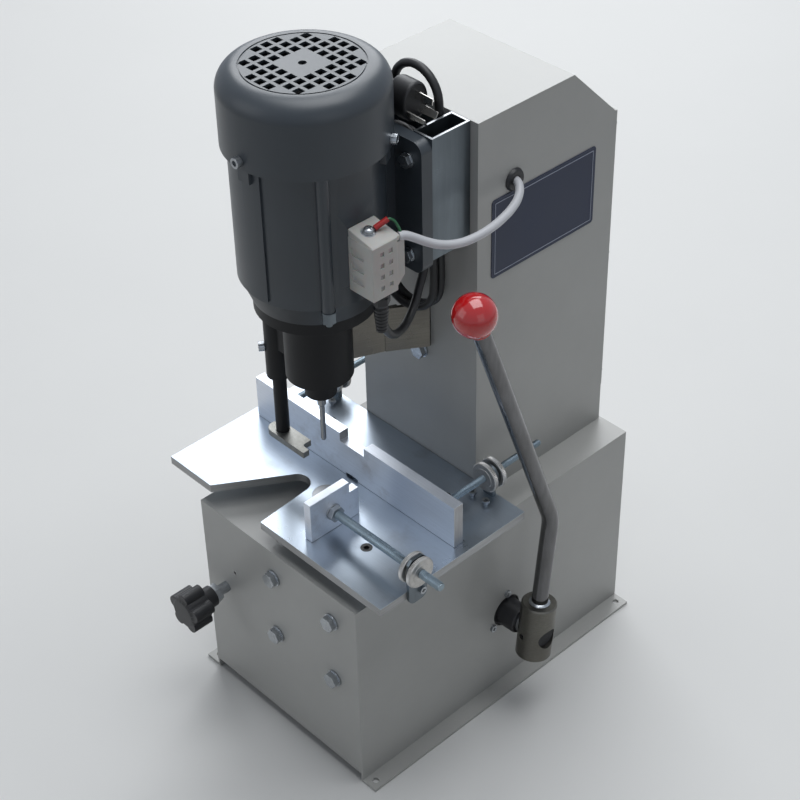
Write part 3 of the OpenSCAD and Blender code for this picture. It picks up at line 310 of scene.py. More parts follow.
def brushed_group() -> bpy.types.NodeTree:
    """Makes the group for lines that a grinding belt or a lathe leaves.

    Returns:
        Group with a bumped normal and the masks of streaks and clouds; Stretch is the
        noise's scale per axis.
    """
    g = GroupMaker("brushed", [("Stretch", "Vector", (8.0, 900.0, 900.0)),
                               ("Depth", "Float", 0.2)],
                   [("Normal", "Vector"), ("Streaks", "Float"), ("Clouds", "Float")])
    place = g.place()
    streaks = g.noise(g.stretched(place, "Stretch"), 1.0, 6.0, 0.65)
    g.bump(streaks, 0.00012)
    g.send(g.ramp(streaks, 0.32, 0.68), "Streaks")
    g.send(g.ramp(g.noise(place, 22.0, 5.0), 0.36, 0.66), "Clouds")
    return g.tree


def smudge_group() -> bpy.types.NodeTree:
    """Makes the group for handled, ground stock: soft clouds, stains and grinding lines.

    Returns:
        Group with a bumped normal and the masks of clouds, stains and lines.
    """
    g = GroupMaker("smudges", [("Grain", "Vector", (20.0, 700.0, 700.0)),
                               ("Depth", "Float", 0.05)],
                   [("Normal", "Vector"), ("Clouds", "Float"), ("Stains", "Float"),
                    ("Lines", "Float")])
    place = g.place()
    lines = g.noise(g.stretched(place, "Grain"), 1.0, 5.0, 0.62)
    g.bump(lines, 0.00008)
    g.send(g.ramp(lines, 0.34, 0.66), "Lines")
    g.send(g.ramp(g.noise(place, 11.0, 6.0, 0.62), 0.34, 0.66), "Clouds")
    g.send(g.ramp(g.noise(place, 38.0, 6.0, 0.62), 0.54, 0.72), "Stains")
    return g.tree


class Groups:
    """The shader groups of the scene, each built once."""

    made: dict[str, bpy.types.NodeTree] = {}
    makers: dict[str, Callable[[], bpy.types.NodeTree]] = {
        "speckle": speckle_group, "worn_edges": edge_group,
        "brushed": brushed_group, "smudges": smudge_group,
    }

    @classmethod
    def get(cls, name: str) -> bpy.types.NodeTree:
        """Gives the group of that name, and builds it on first use.

        Args:
            name: Name of the group.

        Returns:
            The group.
        """
        if name not in cls.made:
            cls.made[name] = cls.makers[name]()
        return cls.made[name]


# ---- finishes ------------------------------------------------------------------------------


class MaterialMaker:
    """Builds one material around a Principled BSDF."""

    def __init__(self, name: str) -> None:
        """Makes the material with its shader and output.

        Args:
            name: Name of the material.
        """
        self.material = bpy.data.materials.new(name)
        self.material.use_nodes = True
        self.tree = self.material.node_tree
        self.shader = self.tree.nodes["Principled BSDF"]

    def set(self, **values: object) -> None:
        """Sets plain values on the shader; underscores stand for spaces in the names."""
        for key, value in values.items():
            self.shader.inputs[key.replace("_", " ")].default_value = value

    def group(self, name: str, **values: object) -> bpy.types.Node:
        """Places a shader group with its values.

        Args:
            name: Name of the group.
            **values: Value of each named input.

        Returns:
            The group's node.
        """
        node = self.tree.nodes.new("ShaderNodeGroup")
        node.node_tree = Groups.get(name)
        for key, value in values.items():
            node.inputs[key].default_value = value
        return node

    def blend(self, mask: bpy.types.NodeSocket, low: object, high: object) -> bpy.types.NodeSocket:
        """Mixes two colours by a mask.

        Args:
            mask: Socket from 0 to 1.
            low: Colour or socket at 0.
            high: Colour or socket at 1.

        Returns:
            The mixed colour.
        """
        node = self.tree.nodes.new("ShaderNodeMix")
        node.data_type = "RGBA"
        self.tree.links.new(mask, node.inputs[0])
        for slot, value in ((6, low), (7, high)):
            if isinstance(value, bpy.types.NodeSocket):
                self.tree.links.new(value, node.inputs[slot])
            else:
                node.inputs[slot].default_value = (*value, 1.0)
        return node.outputs[2]

    def spread(self, mask: bpy.types.NodeSocket, low: float, high: float) -> bpy.types.NodeSocket:
        """Maps a mask from 0 to 1 onto low to high.

        Args:
            mask: Socket from 0 to 1.
            low: Value at 0.
            high: Value at 1.

        Returns:
            The mapped value.
        """
        node = self.tree.nodes.new("ShaderNodeMapRange")
        self.tree.links.new(mask, node.inputs[0])
        node.inputs[3].default_value = low
        node.inputs[4].default_value = high
        return node.outputs[0]

    def feed(self, socket: bpy.types.NodeSocket, name: str) -> None:
        """Joins a socket to the shader's input of that name."""
        self.tree.links.new(socket, self.shader.inputs[name])

    def shaded(self, mask: bpy.types.NodeSocket, colour: Colour, low: float,
               high: float) -> bpy.types.NodeSocket:
        """Makes a colour darker or lighter by a mask, between two factors."""
        return self.blend(mask, tint(colour, low), tint(colour, high))

    def skin(self, marks: bpy.types.Node, mask: str, smooth: float, rough: float) -> None:
        """Feeds roughness and normal from a placed group.

        Args:
            marks: The group's node.
            mask: Its output that varies the roughness.
            smooth: Roughness where the mask is 0.
            rough: Roughness where it is 1.
        """
        self.feed(self.spread(marks.outputs[mask], smooth, rough), "Roughness")
        self.feed(marks.outputs["Normal"], "Normal")


def tint(colour: Colour, factor: float) -> Colour:
    """Gives the colour made lighter or darker by a factor."""
    return tuple(min(1.0, c * factor) for c in colour)


@dataclass(frozen=True)
class Paint:
    """Sprayed or powdered paint: slight orange peel, clouds of sheen, bare edges."""

    name: str
    colour: Colour
    under: Colour = (0.35, 0.35, 0.34)
    roughness: float = 0.42
    peel: float = 420.0
    depth: float = 0.10
    wear: float = 0.0004
    cloud: float = 0.05
    bare: float = 0.55
    gloss: float = 0.5

    def build(self) -> bpy.types.Material:
        """Builds the material.

        Returns:
            The finished material.
        """
        m = MaterialMaker(self.name)
        m.set(Metallic=0.0, Specular_IOR_Level=self.gloss)
        grain = m.group("speckle", Size=self.peel, Depth=self.depth, Cloud=11.0)
        worn = m.group("worn_edges", Width=self.wear)
        base = m.shaded(grain.outputs["Cloud"], self.colour, 1 - self.cloud, 1 + self.cloud)
        m.feed(m.blend(m.spread(worn.outputs["Mask"], 0.0, self.bare), base, self.under),
               "Base Color")
        m.skin(grain, "Cloud", self.roughness - 0.05, self.roughness + 0.07)
        return m.material


@dataclass(frozen=True)
class BrushedMetal:
    """Bare, ground or plated metal with lines along one direction."""

    name: str
    colour: Colour
    roughness: float = 0.3
    stretch: Point = (8.0, 900.0, 900.0)
    depth: float = 0.2
    stain: Colour = (0.30, 0.27, 0.24)
    stained: float = 0.25

    def build(self) -> bpy.types.Material:
        """Builds the material.

        Returns:
            The finished material.
        """
        m = MaterialMaker(self.name)
        m.set(Metallic=1.0)
        lines = m.group("brushed", Stretch=self.stretch, Depth=self.depth)
        streaked = m.shaded(lines.outputs["Streaks"], self.colour, 0.82, 1.08)
        m.feed(m.blend(m.spread(lines.outputs["Clouds"], 0.0, self.stained), streaked,
                       self.stain), "Base Color")
        m.skin(lines, "Clouds", self.roughness - 0.06, self.roughness + 0.12)
        return m.material


@dataclass(frozen=True)
class GroundStock:
    """Ground flat stock that hands and paper have dulled in places."""

    name: str
    colour: Colour
    roughness: float = 0.28
    grain: Point = (20.0, 700.0, 700.0)
    depth: float = 0.05
    stain: Colour = (0.26, 0.26, 0.27)
    stained: float = 0.30
    bright: Colour = (0.78, 0.78, 0.78)
    worn: float = 0.4

    def build(self) -> bpy.types.Material:
        """Builds the material.

        Returns:
            The finished material.
        """
        m = MaterialMaker(self.name)
        m.set(Metallic=1.0)
        marks = m.group("smudges", Grain=self.grain, Depth=self.depth)
        worn = m.group("worn_edges", Width=0.0005)
        lined = m.shaded(marks.outputs["Lines"], self.colour, 0.97, 1.03)
        base = m.blend(m.spread(marks.outputs["Stains"], 0.0, self.stained), lined, self.stain)
        m.feed(m.blend(m.spread(worn.outputs["Mask"], 0.0, self.worn), base, self.bright),
               "Base Color")
        m.skin(marks, "Clouds", self.roughness - 0.06, self.roughness + 0.08)
        return m.material


@dataclass(frozen=True)
class Moulded:
    """Moulded plastic or rubber with a fine grain."""

    name: str
    colour: Colour
    roughness: float = 0.4
    grain: float = 1500.0
    depth: float = 0.12
    cloud: float = 0.08
    coat: float = 0.0
    through: float = 0.0

    def build(self) -> bpy.types.Material:
        """Builds the material.

        Returns:
            The finished material.
        """
        m = MaterialMaker(self.name)
        m.set(Metallic=0.0, Coat_Weight=self.coat, Coat_Roughness=0.06,
              Subsurface_Weight=self.through, Subsurface_Scale=0.004)
        grain = m.group("speckle", Size=self.grain, Depth=self.depth, Cloud=30.0)
        m.feed(m.shaded(grain.outputs["Cloud"], self.colour, 1 - self.cloud, 1 + self.cloud),
               "Base Color")
        m.skin(grain, "Cloud", self.roughness - 0.05, self.roughness + 0.08)
        return m.material


class Finishes:
    """All finishes, built on first use and kept by name."""

    table: dict[str, object] = {
        f.name: f for f in (
            Paint("housing_paint", (0.436, 0.436, 0.420), roughness=0.36),
            Paint("motor_paint", (0.035, 0.044, 0.054), under=(0.13, 0.14, 0.15),
                  roughness=0.36, peel=260.0, depth=0.16, cloud=0.10, gloss=0.62),
            # A darker copy of motor_paint for the end shield: painted shade on the underside of
            # the motor.
            Paint("shield_paint", (0.017, 0.021, 0.025), under=(0.10, 0.11, 0.11),
                  roughness=0.44, peel=260.0, depth=0.16, cloud=0.10, gloss=0.4),
            Paint("spindle_black", (0.009, 0.009, 0.010), under=(0.10, 0.10, 0.10),
                  roughness=0.46, peel=300.0, depth=0.14, gloss=0.25),
            Paint("plate_print", (0.018, 0.028, 0.066), under=(0.5, 0.5, 0.52),
                  roughness=0.36, peel=900.0, depth=0.03, gloss=0.35),
            Paint("plate_rule", (0.30, 0.33, 0.42), roughness=0.35, peel=900.0, depth=0.03),
            BrushedMetal("zinc_steel", (0.41, 0.435, 0.46), roughness=0.26,
                         stretch=(260.0, 260.0, 260.0), depth=0.10, stained=0.18),
            BrushedMetal("zinc_blue", (0.29, 0.36, 0.41), roughness=0.27,
                         stretch=(260.0, 260.0, 260.0), depth=0.06, stained=0.25,
                         stain=(0.22, 0.25, 0.26)),
            BrushedMetal("zinc_tube", (0.165, 0.19, 0.21), roughness=0.32,
                         stretch=(120.0, 120.0, 9.0), depth=0.08, stained=0.25,
                         stain=(0.13, 0.15, 0.16)),
            BrushedMetal("ground_rod", (0.28, 0.29, 0.30), roughness=0.24,
                         stretch=(500.0, 500.0, 40.0), depth=0.05, stained=0.18),
            BrushedMetal("chromed_rod", (0.165, 0.165, 0.17), roughness=0.12,
                         stretch=(260.0, 260.0, 30.0), depth=0.03, stained=0.35,
                         stain=(0.09, 0.085, 0.08)),
            BrushedMetal("cast_finger", (0.28, 0.28, 0.265), roughness=0.50,
                         stretch=(300.0, 300.0, 300.0), depth=0.35, stained=0.40,
                         stain=(0.24, 0.23, 0.20)),
            BrushedMetal("turned_hub", (0.165, 0.16, 0.142), roughness=0.34,
                         stretch=(300.0, 300.0, 1100.0), depth=0.08, stained=0.30,
                         stain=(0.09, 0.082, 0.068)),
            BrushedMetal("milled_steel", (0.30, 0.31, 0.32), roughness=0.36,
                         stretch=(900.0, 30.0, 900.0), depth=0.12, stained=0.35),
            BrushedMetal("bent_stainless", (0.165, 0.155, 0.135), roughness=0.26,
                         stretch=(30.0, 30.0, 900.0), depth=0.06, stained=0.30,
                         stain=(0.11, 0.10, 0.09)),
            BrushedMetal("knurled_alloy", (0.52, 0.51, 0.49), roughness=0.40,
                         stretch=(200.0, 200.0, 200.0), depth=0.05, stained=0.30,
                         stain=(0.40, 0.38, 0.36)),
            BrushedMetal("nickel_pins", (0.76, 0.735, 0.69), roughness=0.24,
                         stretch=(40.0, 300.0, 300.0), depth=0.05, stained=0.2),
            BrushedMetal("cut_edge", (0.37, 0.38, 0.39), roughness=0.40,
                         stretch=(30.0, 30.0, 900.0), depth=0.12, stained=0.35),
            BrushedMetal("sawn_end", (0.38, 0.38, 0.39), roughness=0.46,
                         stretch=(900.0, 900.0, 60.0), depth=0.14, stained=0.25),
            GroundStock("table_steel", (0.41, 0.465, 0.53), roughness=0.31, stained=0.35),
            GroundStock("alloy_bar", (0.75, 0.79, 0.86), roughness=0.45, stained=0.50,
                        stain=(0.45, 0.43, 0.43)),
            Moulded("black_plastic", (0.013, 0.013, 0.015), roughness=0.38),
            Moulded("black_screws", (0.020, 0.020, 0.022), roughness=0.34, depth=0.05),
            Moulded("nylon", (0.52, 0.515, 0.49), roughness=0.34, through=0.20, cloud=0.04),
            Moulded("black_cable", (0.014, 0.014, 0.015), roughness=0.42, grain=2200.0),
            Moulded("white_cable", (0.62, 0.63, 0.66), roughness=0.36, cloud=0.03),
            Moulded("green_wire", (0.02, 0.13, 0.05), roughness=0.35),
            Moulded("red_sleeve", (0.44, 0.02, 0.02), roughness=0.35),
            Moulded("red_ball", (0.54, 0.008, 0.010), roughness=0.14, grain=300.0, depth=0.02,
                    cloud=0.03, coat=0.8),
            # Near-black, matte finish of the disc in the lever hub's bore: black, deepened as
            # painted shade of the bore.
            Moulded("black_with_bore_shade", (0.010, 0.010, 0.011), roughness=0.7),
        )
    }
    made: dict[str, bpy.types.Material] = {}

    @classmethod
    def get(cls, name: str) -> bpy.types.Material:
        """Gives the finish of that name, and builds it on first use.

        Args:
            name: Name of the finish.

        Returns:
            Its material.
        """
        if name not in cls.made:
            cls.made[name] = cls.table[name].build()
        return cls.made[name]


# ---- shaping -------------------------------------------------------------------------------


class Shop:
    """Modelling steps as done by hand: primitives, edit mode operators, applied modifiers."""

    frame: dict = {}

    @staticmethod
    def alone(obj: bpy.types.Object) -> None:
        """Selects this object only and makes it active.

        Args:
            obj: The object.
        """
        bpy.ops.object.select_all(action="DESELECT")
        obj.select_set(True)
        bpy.context.view_layer.objects.active = obj

    @staticmethod
    def linked(name: str, data: bpy.types.ID) -> bpy.types.Object:
        """Makes an object of this data and links it to the scene.

        Args:
            name: Name of the object.
            data: Its mesh, curve, lamp or camera.

        Returns:
            The object.
        """
        obj = bpy.data.objects.new(name, data)
        bpy.context.scene.collection.objects.link(obj)
        return obj

    @staticmethod
    def primitive(add: Callable[..., set], name: str, **settings: object) -> bpy.types.Object:
        """Adds a primitive, with nothing else selected.

        Args:
            add: Blender's operator for it.
            name: Name of the piece.
            **settings: Settings of the operator.

        Returns:
            The new piece.
        """
        bpy.ops.object.select_all(action="DESELECT")
        add(**settings)
        obj = bpy.context.active_object
        obj.name = name
        return obj

    @staticmethod
    def edit(obj: bpy.types.Object, kind: Pick = Pick.POINTS, everything: bool = False) -> None:
        """Enters edit mode on this object alone.

        Args:
            obj: The object to edit.
            kind: What is selected.
            everything: Whether all of it is selected, or nothing.
        """
        Shop.alone(obj)
        bpy.ops.object.mode_set(mode="EDIT")
        bpy.ops.mesh.select_mode(type=kind.value)
        bpy.ops.mesh.select_all(action="SELECT" if everything else "DESELECT")

    @staticmethod
    def pick(obj: bpy.types.Object, kind: Pick, test: Callable[..., bool]) -> None:
        """Enters edit mode with the points, edges or faces selected that pass a test.

        Args:
            obj: The object to edit.
            kind: What is selected.
            test: Says whether a point, edge or face of the mesh is.
        """
        Shop.edit(obj, kind)
        bpy.ops.object.mode_set(mode="OBJECT")
        for item in {Pick.POINTS: obj.data.vertices, Pick.EDGES: obj.data.edges,
                     Pick.FACES: obj.data.polygons}[kind]:
            item.select = bool(test(item))
        bpy.ops.object.mode_set(mode="EDIT")

    @staticmethod
    def close_seams() -> None:
        """Merges all doubled points in edit mode, turns the faces outwards and leaves it."""
        bpy.ops.mesh.select_all(action="SELECT")
        bpy.ops.mesh.remove_doubles(threshold=SEAM)
        bpy.ops.mesh.normals_make_consistent(inside=False)
        bpy.ops.object.mode_set(mode="OBJECT")

    @staticmethod
    def done(obj: bpy.types.Object, angle: float = 35.0) -> bpy.types.Object:
        """Leaves edit mode, applies the place and shades smooth up to an angle.

        Args:
            obj: The piece.
            angle: Largest angle in degrees that is shaded smooth.

        Returns:
            The piece.
        """
        if bpy.context.mode != "OBJECT":
            bpy.ops.object.mode_set(mode="OBJECT")
        Shop.alone(obj)
        bpy.ops.object.transform_apply(location=True, rotation=True, scale=True)
        bpy.ops.object.shade_smooth_by_angle(angle=math.radians(angle))
        Shop.modifier(obj, "WEIGHTED_NORMAL", keep_sharp=True, weight=50)
        return obj

    @staticmethod
    def modifier(obj: bpy.types.Object, kind: str, **settings: object) -> None:
        """Adds a modifier with its settings and applies it.

        Args:
            obj: The piece.
            kind: Blender's modifier type.
            **settings: Properties of the modifier.
        """
        Shop.alone(obj)
        mod = obj.modifiers.new(kind.lower(), kind)
        for key, value in settings.items():
            setattr(mod, key, value)
        bpy.ops.object.modifier_apply(modifier=mod.name)

    @staticmethod
    def bevel(obj: bpy.types.Object, width: float, segments: int = 2, angle: float = 30.0) -> None:
        """Rounds the sharp edges of a piece.

        Args:
            obj: The piece.
            width: Width of the rounding in metres.
            segments: Its steps.
            angle: Smallest angle in degrees that is rounded.
        """
        Shop.modifier(obj, "BEVEL", width=width, segments=segments, limit_method="ANGLE",
                      angle_limit=math.radians(angle), miter_outer="MITER_ARC",
                      use_clamp_overlap=True)

    @staticmethod
    def box(name: str, low: Point, high: Point) -> bpy.types.Object:
        """Makes a box between two corners, given in millimetres.

        Args:
            name: Name of the box.
            low: Its lowest corner.
            high: Its highest corner.

        Returns:
            The box.
        """
        obj = Shop.primitive(bpy.ops.mesh.primitive_cube_add, name, size=1.0,
                             location=[(a + b) / 2 * MM for a, b in zip(low, high)])
        obj.scale = [(b - a) * MM for a, b in zip(low, high)]
        bpy.ops.object.transform_apply(location=True, rotation=True, scale=True)
        return obj

    @staticmethod
    def bar(name: str, radius: float, start: Point, length: float, axis: Axis = Axis.Z,
            sides: int = 48) -> bpy.types.Object:
        """Makes a round bar.

        Args:
            name: Name of the piece.
            radius: Its radius in millimetres.
            start: Centre of its first end in millimetres.
            length: Its length.
            axis: Direction from the first end to the other.
            sides: Faces round it.

        Returns:
            The bar.
        """
        obj = Shop.primitive(bpy.ops.mesh.primitive_cylinder_add, name, vertices=sides,
                             radius=radius * MM, depth=length * MM,
                             location=(0, 0, length / 2 * MM))
        bpy.ops.object.transform_apply(location=True, rotation=True, scale=True)
        return Shop.place(obj, tuple(c * MM for c in start), axis)

    @staticmethod
    def carve(obj: bpy.types.Object, tools: Iterable[bpy.types.Object],
              fit: Fit = Fit.CUT) -> bpy.types.Object:
        """Cuts tools out of a piece, or fuses them with it, and clears them away.

        Args:
            obj: The piece.
            tools: Objects that cut it or are fused with it.
            fit: Which of the two they do.

        Returns:
            The piece.
        """
        for tool in tools:
            Shop.modifier(obj, "BOOLEAN", operation=fit.value, object=tool, solver="EXACT")
            bpy.data.objects.remove(tool, do_unlink=True)
        return obj

    @staticmethod
    def shift(obj: bpy.types.Object, test: Callable[[Vector], bool], by: Point) -> None:
        """Moves the vertices that pass a test, by millimetres.

        Args:
            obj: The piece.
            test: Says whether a vertex at this place, in millimetres, moves.
            by: How far it moves.
        """
        Shop.pick(obj, Pick.POINTS, lambda v: test(v.co / MM))
        bpy.ops.transform.translate(value=tuple(c * MM for c in by))
        bpy.ops.object.mode_set(mode="OBJECT")

    @staticmethod
    def cleaned_copy(node: str) -> bpy.types.Object:
        """Copies a node's mesh and joins its triangles into clean faces.

        Args:
            node: Name of the node.

        Returns:
            The copy, with no parent.
        """
        source = Shop.frame["nodes"][node]
        copy = Shop.linked(f"{node}_dressed", source.data.copy())
        copy.data.materials.clear()
        if copy.data.has_custom_normals:
            Shop.alone(copy)
            bpy.ops.mesh.customdata_custom_splitnormals_clear()
        Shop.edit(copy, everything=True)
        bpy.ops.mesh.remove_doubles(threshold=2e-6)
        bpy.ops.mesh.dissolve_limited(angle_limit=math.radians(0.6))
        bpy.ops.object.mode_set(mode="OBJECT")
        return copy

    @staticmethod
    def dress(obj: bpy.types.Object, body: Body, finish: str, slot: str,
              replaces: Iterable[str] = ()) -> bpy.types.Object:
        """Gives a piece its finish and the body that carries it.

        Args:
            obj: The piece.
            body: Body that it rides on.
            finish: Name of the finish.
            slot: Material slot of the record; not used.
            replaces: Nodes that it stands for.

        Returns:
            The piece.
        """
        obj.data.materials.clear()
        obj.data.materials.append(Finishes.get(finish))
        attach(obj, body.value)
        if replaces:
            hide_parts(*replaces)
        log.info("piece %s: %d faces", obj.name, len(obj.data.polygons))
        return obj

    @staticmethod
    def complete(obj: bpy.types.Object, body: Body, finish: str, slot: str,
                 replaces: Iterable[str] = (), angle: float = 35.0) -> bpy.types.Object:
        """Shades a piece up to an angle and dresses it."""
        return Shop.dress(Shop.done(obj, angle), body, finish, slot, replaces)

    @staticmethod
    def second_finish(obj: bpy.types.Object, finish: str,
                      test: Callable[[Vector], bool]) -> None:
        """Gives the faces whose normal passes a test another finish.

        Args:
            obj: The dressed piece.
            finish: Name of the other finish.
            test: Says whether a face with this normal gets it.
        """
        obj.data.materials.append(Finishes.get(finish))
        for face in obj.data.polygons:
            if test(face.normal):
                face.material_index = len(obj.data.materials) - 1

    @staticmethod
    def soften(node: str, body: Body, finish: str, slot: str, width: float = 0.4,
               segments: int = 2) -> bpy.types.Object:
        """Stands a copy with rounded edges in for a node.

        Args:
            node: Name of the node.
            body: Body that carries it.
            finish: Name of the finish.
            slot: Material slot of the record.
            width: Width of the rounding in millimetres, 0 for none.
            segments: Steps of the rounding.

        Returns:
            The piece.
        """
        piece = Shop.cleaned_copy(node)
        if width > 0:
            Shop.bevel(piece, width * MM, segments)
        return Shop.complete(piece, body, finish, slot, [node])

    @staticmethod
    def soften_all(rows: Iterable[tuple]) -> None:
        """Softens each node of a table, whose rows hold what soften takes."""
        for row in rows:
            Shop.soften(*row)

    @staticmethod
    def tube(name: str, points: Sequence[Point], radius: float, sides: int = 16,
             smooth: bool = True) -> bpy.types.Object:
        """Makes a round tube along points.

        Args:
            name: Name of the piece.
            points: Points of its line, in metres.
            radius: Its radius.
            sides: Faces round it, a multiple of 4.
            smooth: Whether the line runs smoothly through the points.

        Returns:
            A mesh tube with closed ends.
        """
        curve = bpy.data.curves.new(name, "CURVE")
        curve.dimensions = "3D"
        curve.bevel_depth = radius
        curve.bevel_resolution = sides // 4 - 1
        curve.use_fill_caps = True
        curve.resolution_u = 4
        curve.twist_mode = "MINIMUM"
        spline = curve.splines.new("BEZIER" if smooth else "POLY")
        nodes = spline.bezier_points if smooth else spline.points
        nodes.add(len(points) - 1)
        for node, place in zip(nodes, points):
            if smooth:
                node.co = place
                node.handle_left_type = node.handle_right_type = "AUTO"
            else:
                node.co = (*place, 1.0)
        Shop.alone(Shop.linked(name, curve))
        bpy.ops.object.convert(target="MESH")
        obj = bpy.context.view_layer.objects.active
        Shop.edit(obj)
        Shop.close_seams()
        return Shop.done(obj, 60.0)

    @staticmethod
    def outline(name: str, profile: Sequence[tuple[float, float]]) -> bpy.types.Object:
        """Makes a line through radii and heights in metres, to be turned or wound.

        Args:
            name: Name of the line.
            profile: Radius and height of each point.

        Returns:
            The line.
        """
        mesh = bpy.data.meshes.new(name)
        mesh.from_pydata([(r, 0.0, z) for r, z in profile],
                         [(i, i + 1) for i in range(len(profile) - 1)], [])
        return Shop.linked(name, mesh)

    @staticmethod
    def screwed(name: str, profile: Sequence[tuple[float, float]], pitch: float, turns: int,
                steps: int = 20) -> bpy.types.Object:
        """Winds a profile round Z as a thread or a coil.

        Args:
            name: Name of the piece.
            profile: Radius and height of each point of the profile.
            pitch: Rise per turn.
            turns: Number of turns.
            steps: Steps per turn.

        Returns:
            The wound piece, starting at the origin.
        """
        obj = Shop.outline(name, profile)
        Shop.modifier(obj, "SCREW", screw_offset=pitch, iterations=turns, steps=steps,
                      render_steps=steps, axis="Z", use_merge_vertices=True,
                      merge_threshold=SEAM, use_normal_calculate=True)
        return obj

    @staticmethod
    def place(obj: bpy.types.Object, at: Point, axis: Axis = Axis.Z) -> bpy.types.Object:
        """Turns a piece from Z to an axis and moves it, in its mesh.

        Args:
            obj: The piece.
            at: Its new place in metres.
            axis: Its new direction.

        Returns:
            The piece.
        """
        obj.data.transform(Matrix.Translation(Vector(at)) @ axis.turn())
        obj.data.update()
        return obj

    @staticmethod
    def join(name: str, pieces: Sequence[bpy.types.Object]) -> bpy.types.Object:
        """Joins pieces into one object.

        Args:
            name: Name of the joined piece.
            pieces: The pieces, the first of which stays.

        Returns:
            The joined piece.
        """
        bpy.ops.object.select_all(action="DESELECT")
        for piece in pieces:
            piece.select_set(True)
        bpy.context.view_layer.objects.active = pieces[0]
        if len(pieces) > 1:
            bpy.ops.object.join()
        joined = bpy.context.view_layer.objects.active
        joined.name = name
        return joined

    @staticmethod
    def turned(name: str, profile: Sequence[tuple[float, float]], steps: int = 96
               ) -> bpy.types.Object:
        """Turns a closed outline round Z, as on a lathe.

        Args:
            name: Name of the piece.
            profile: Radius and height of each point, from the axis or closed on itself.
            steps: Steps of the turn.

        Returns:
            The turned piece.
        """
        obj = Shop.outline(name, profile)
        Shop.edit(obj, everything=True)
        bpy.ops.mesh.spin(steps=steps, angle=math.radians(360.0), center=(0, 0, 0),
                          axis=(0, 0, 1), use_normal_flip=False)
        Shop.close_seams()
        return obj


# ---- camera, light and floor ---------------------------------------------------------------


@dataclass
class PhotoCamera:
    """Camera at the photograph's viewing angle."""

    place: Point = (0.92275, -0.87315, 1.27380)
    azimuth: float = 0.824150
    elevation: float = 0.663845
    roll: float = -0.024159
    lens: float = 83.743
    sensor: float = 36.0

    def build(self) -> None:
        """Makes the camera and sets it as the scene's."""
        ahead = Vector((-math.sin(self.azimuth) * math.cos(self.elevation),
                        math.cos(self.azimuth) * math.cos(self.elevation),
                        -math.sin(self.elevation)))
        level = Vector((math.cos(self.azimuth), math.sin(self.azimuth), 0.0))
        up = level.cross(ahead)
        c, s = math.cos(self.roll), math.sin(self.roll)
        right, above = c * level + s * up, c * up - s * level
        data = bpy.data.cameras.new("photo_camera")
        data.lens, data.sensor_width, data.sensor_fit = self.lens, self.sensor, "HORIZONTAL"
        data.clip_start, data.clip_end = 0.05, 60.0
        camera = Shop.linked("photo_camera", data)
        camera.matrix_world = Matrix((
            (right.x, above.x, -ahead.x, self.place[0]),
            (right.y, above.y, -ahead.y, self.place[1]),
            (right.z, above.z, -ahead.z, self.place[2]),
            (0.0, 0.0, 0.0, 1.0)))
        bpy.context.scene.camera = camera


@dataclass
class Studio:
    """Pale floor and soft lamps, brightest from behind and above."""

    floor_size: float = 6.0
    floor_colour: Colour = (0.76, 0.76, 0.75)
    lamp_colour: Colour = (0.96, 0.98, 1.0)
    aim: Point = (0.0, 0.0, 0.3)
    sky: Colour = (0.78, 0.87, 1.0)
    sky_light: float = 0.11
    backdrop: Colour = (0.50, 0.54, 0.60)
    lamps: tuple[tuple[str, Point, float, float], ...] = (
        ("back_window", (-1.55, 1.55, 1.75), 1.9, 38.0),
        ("top_panel", (0.1, 0.3, 2.6), 1.8, 40.0),
        ("front_fill", (-1.2, -2.4, 1.5), 1.8, 8.0),
        ("side_fill", (2.6, -0.6, 1.3), 1.6, 3.0),
    )

    def build(self) -> None:
        """Makes the floor, the lamps and the world."""
        bpy.context.scene.view_settings.view_transform = "Standard"
        self.lay_floor()
        self.hang_lamps()
        self.light_world()

    def lay_floor(self) -> None:
        """Lays the pale paper under the machine."""
        floor = Shop.primitive(bpy.ops.mesh.primitive_plane_add, "studio_floor",
                               size=self.floor_size, location=(0, 0, 0))
        m = MaterialMaker("floor_paper")
        m.set(Roughness=0.85, Specular_IOR_Level=0.2)
        noise = m.group("speckle", Size=500.0, Depth=0.02, Cloud=2.0)
        m.feed(m.shaded(noise.outputs["Cloud"], self.floor_colour, 0.985, 1.01), "Base Color")
        floor.data.materials.append(m.material)

    def hang_lamps(self) -> None:
        """Hangs the soft lamps, all aimed at the machine."""
        for name, place, size, power in self.lamps:
            data = bpy.data.lights.new(name, "AREA")
            data.shape, data.size, data.energy = "SQUARE", size, power
            data.color = self.lamp_colour
            lamp = Shop.linked(name, data)
            lamp.location = place
            aim = Vector(self.aim) - Vector(place)
            lamp.rotation_euler = aim.to_track_quat("-Z", "Y").to_euler()

    def light_world(self) -> None:
        """Makes the world: its weak light, and the backdrop that camera and gloss see."""
        world = bpy.data.worlds.new("studio")
        bpy.context.scene.world = world
        world.use_nodes = True
        tree = world.node_tree
        shown, lit, mix, path = (tree.nodes["Background"],
                                 tree.nodes.new("ShaderNodeBackground"),
                                 tree.nodes.new("ShaderNodeMixShader"),
                                 tree.nodes.new("ShaderNodeLightPath"))
        lit.inputs[0].default_value = (*self.sky, 1.0)
        lit.inputs[1].default_value = self.sky_light
        shown.inputs[0].default_value = (*self.backdrop, 1.0)
        shown.inputs[1].default_value = 1.0
        seen = path.outputs["Is Camera Ray"]
        for kind in ("Is Glossy Ray", "Is Transmission Ray"):
            either = tree.nodes.new("ShaderNodeMath")
            either.operation = "MAXIMUM"
            tree.links.new(seen, either.inputs[0])
            tree.links.new(path.outputs[kind], either.inputs[1])
            seen = either.outputs[0]
        tree.links.new(seen, mix.inputs[0])
        tree.links.new(lit.outputs[0], mix.inputs[1])
        tree.links.new(shown.outputs[0], mix.inputs[2])
        tree.links.new(mix.outputs[0], tree.nodes["World Output"].inputs["Surface"])


# ---- cables --------------------------------------------------------------------------------


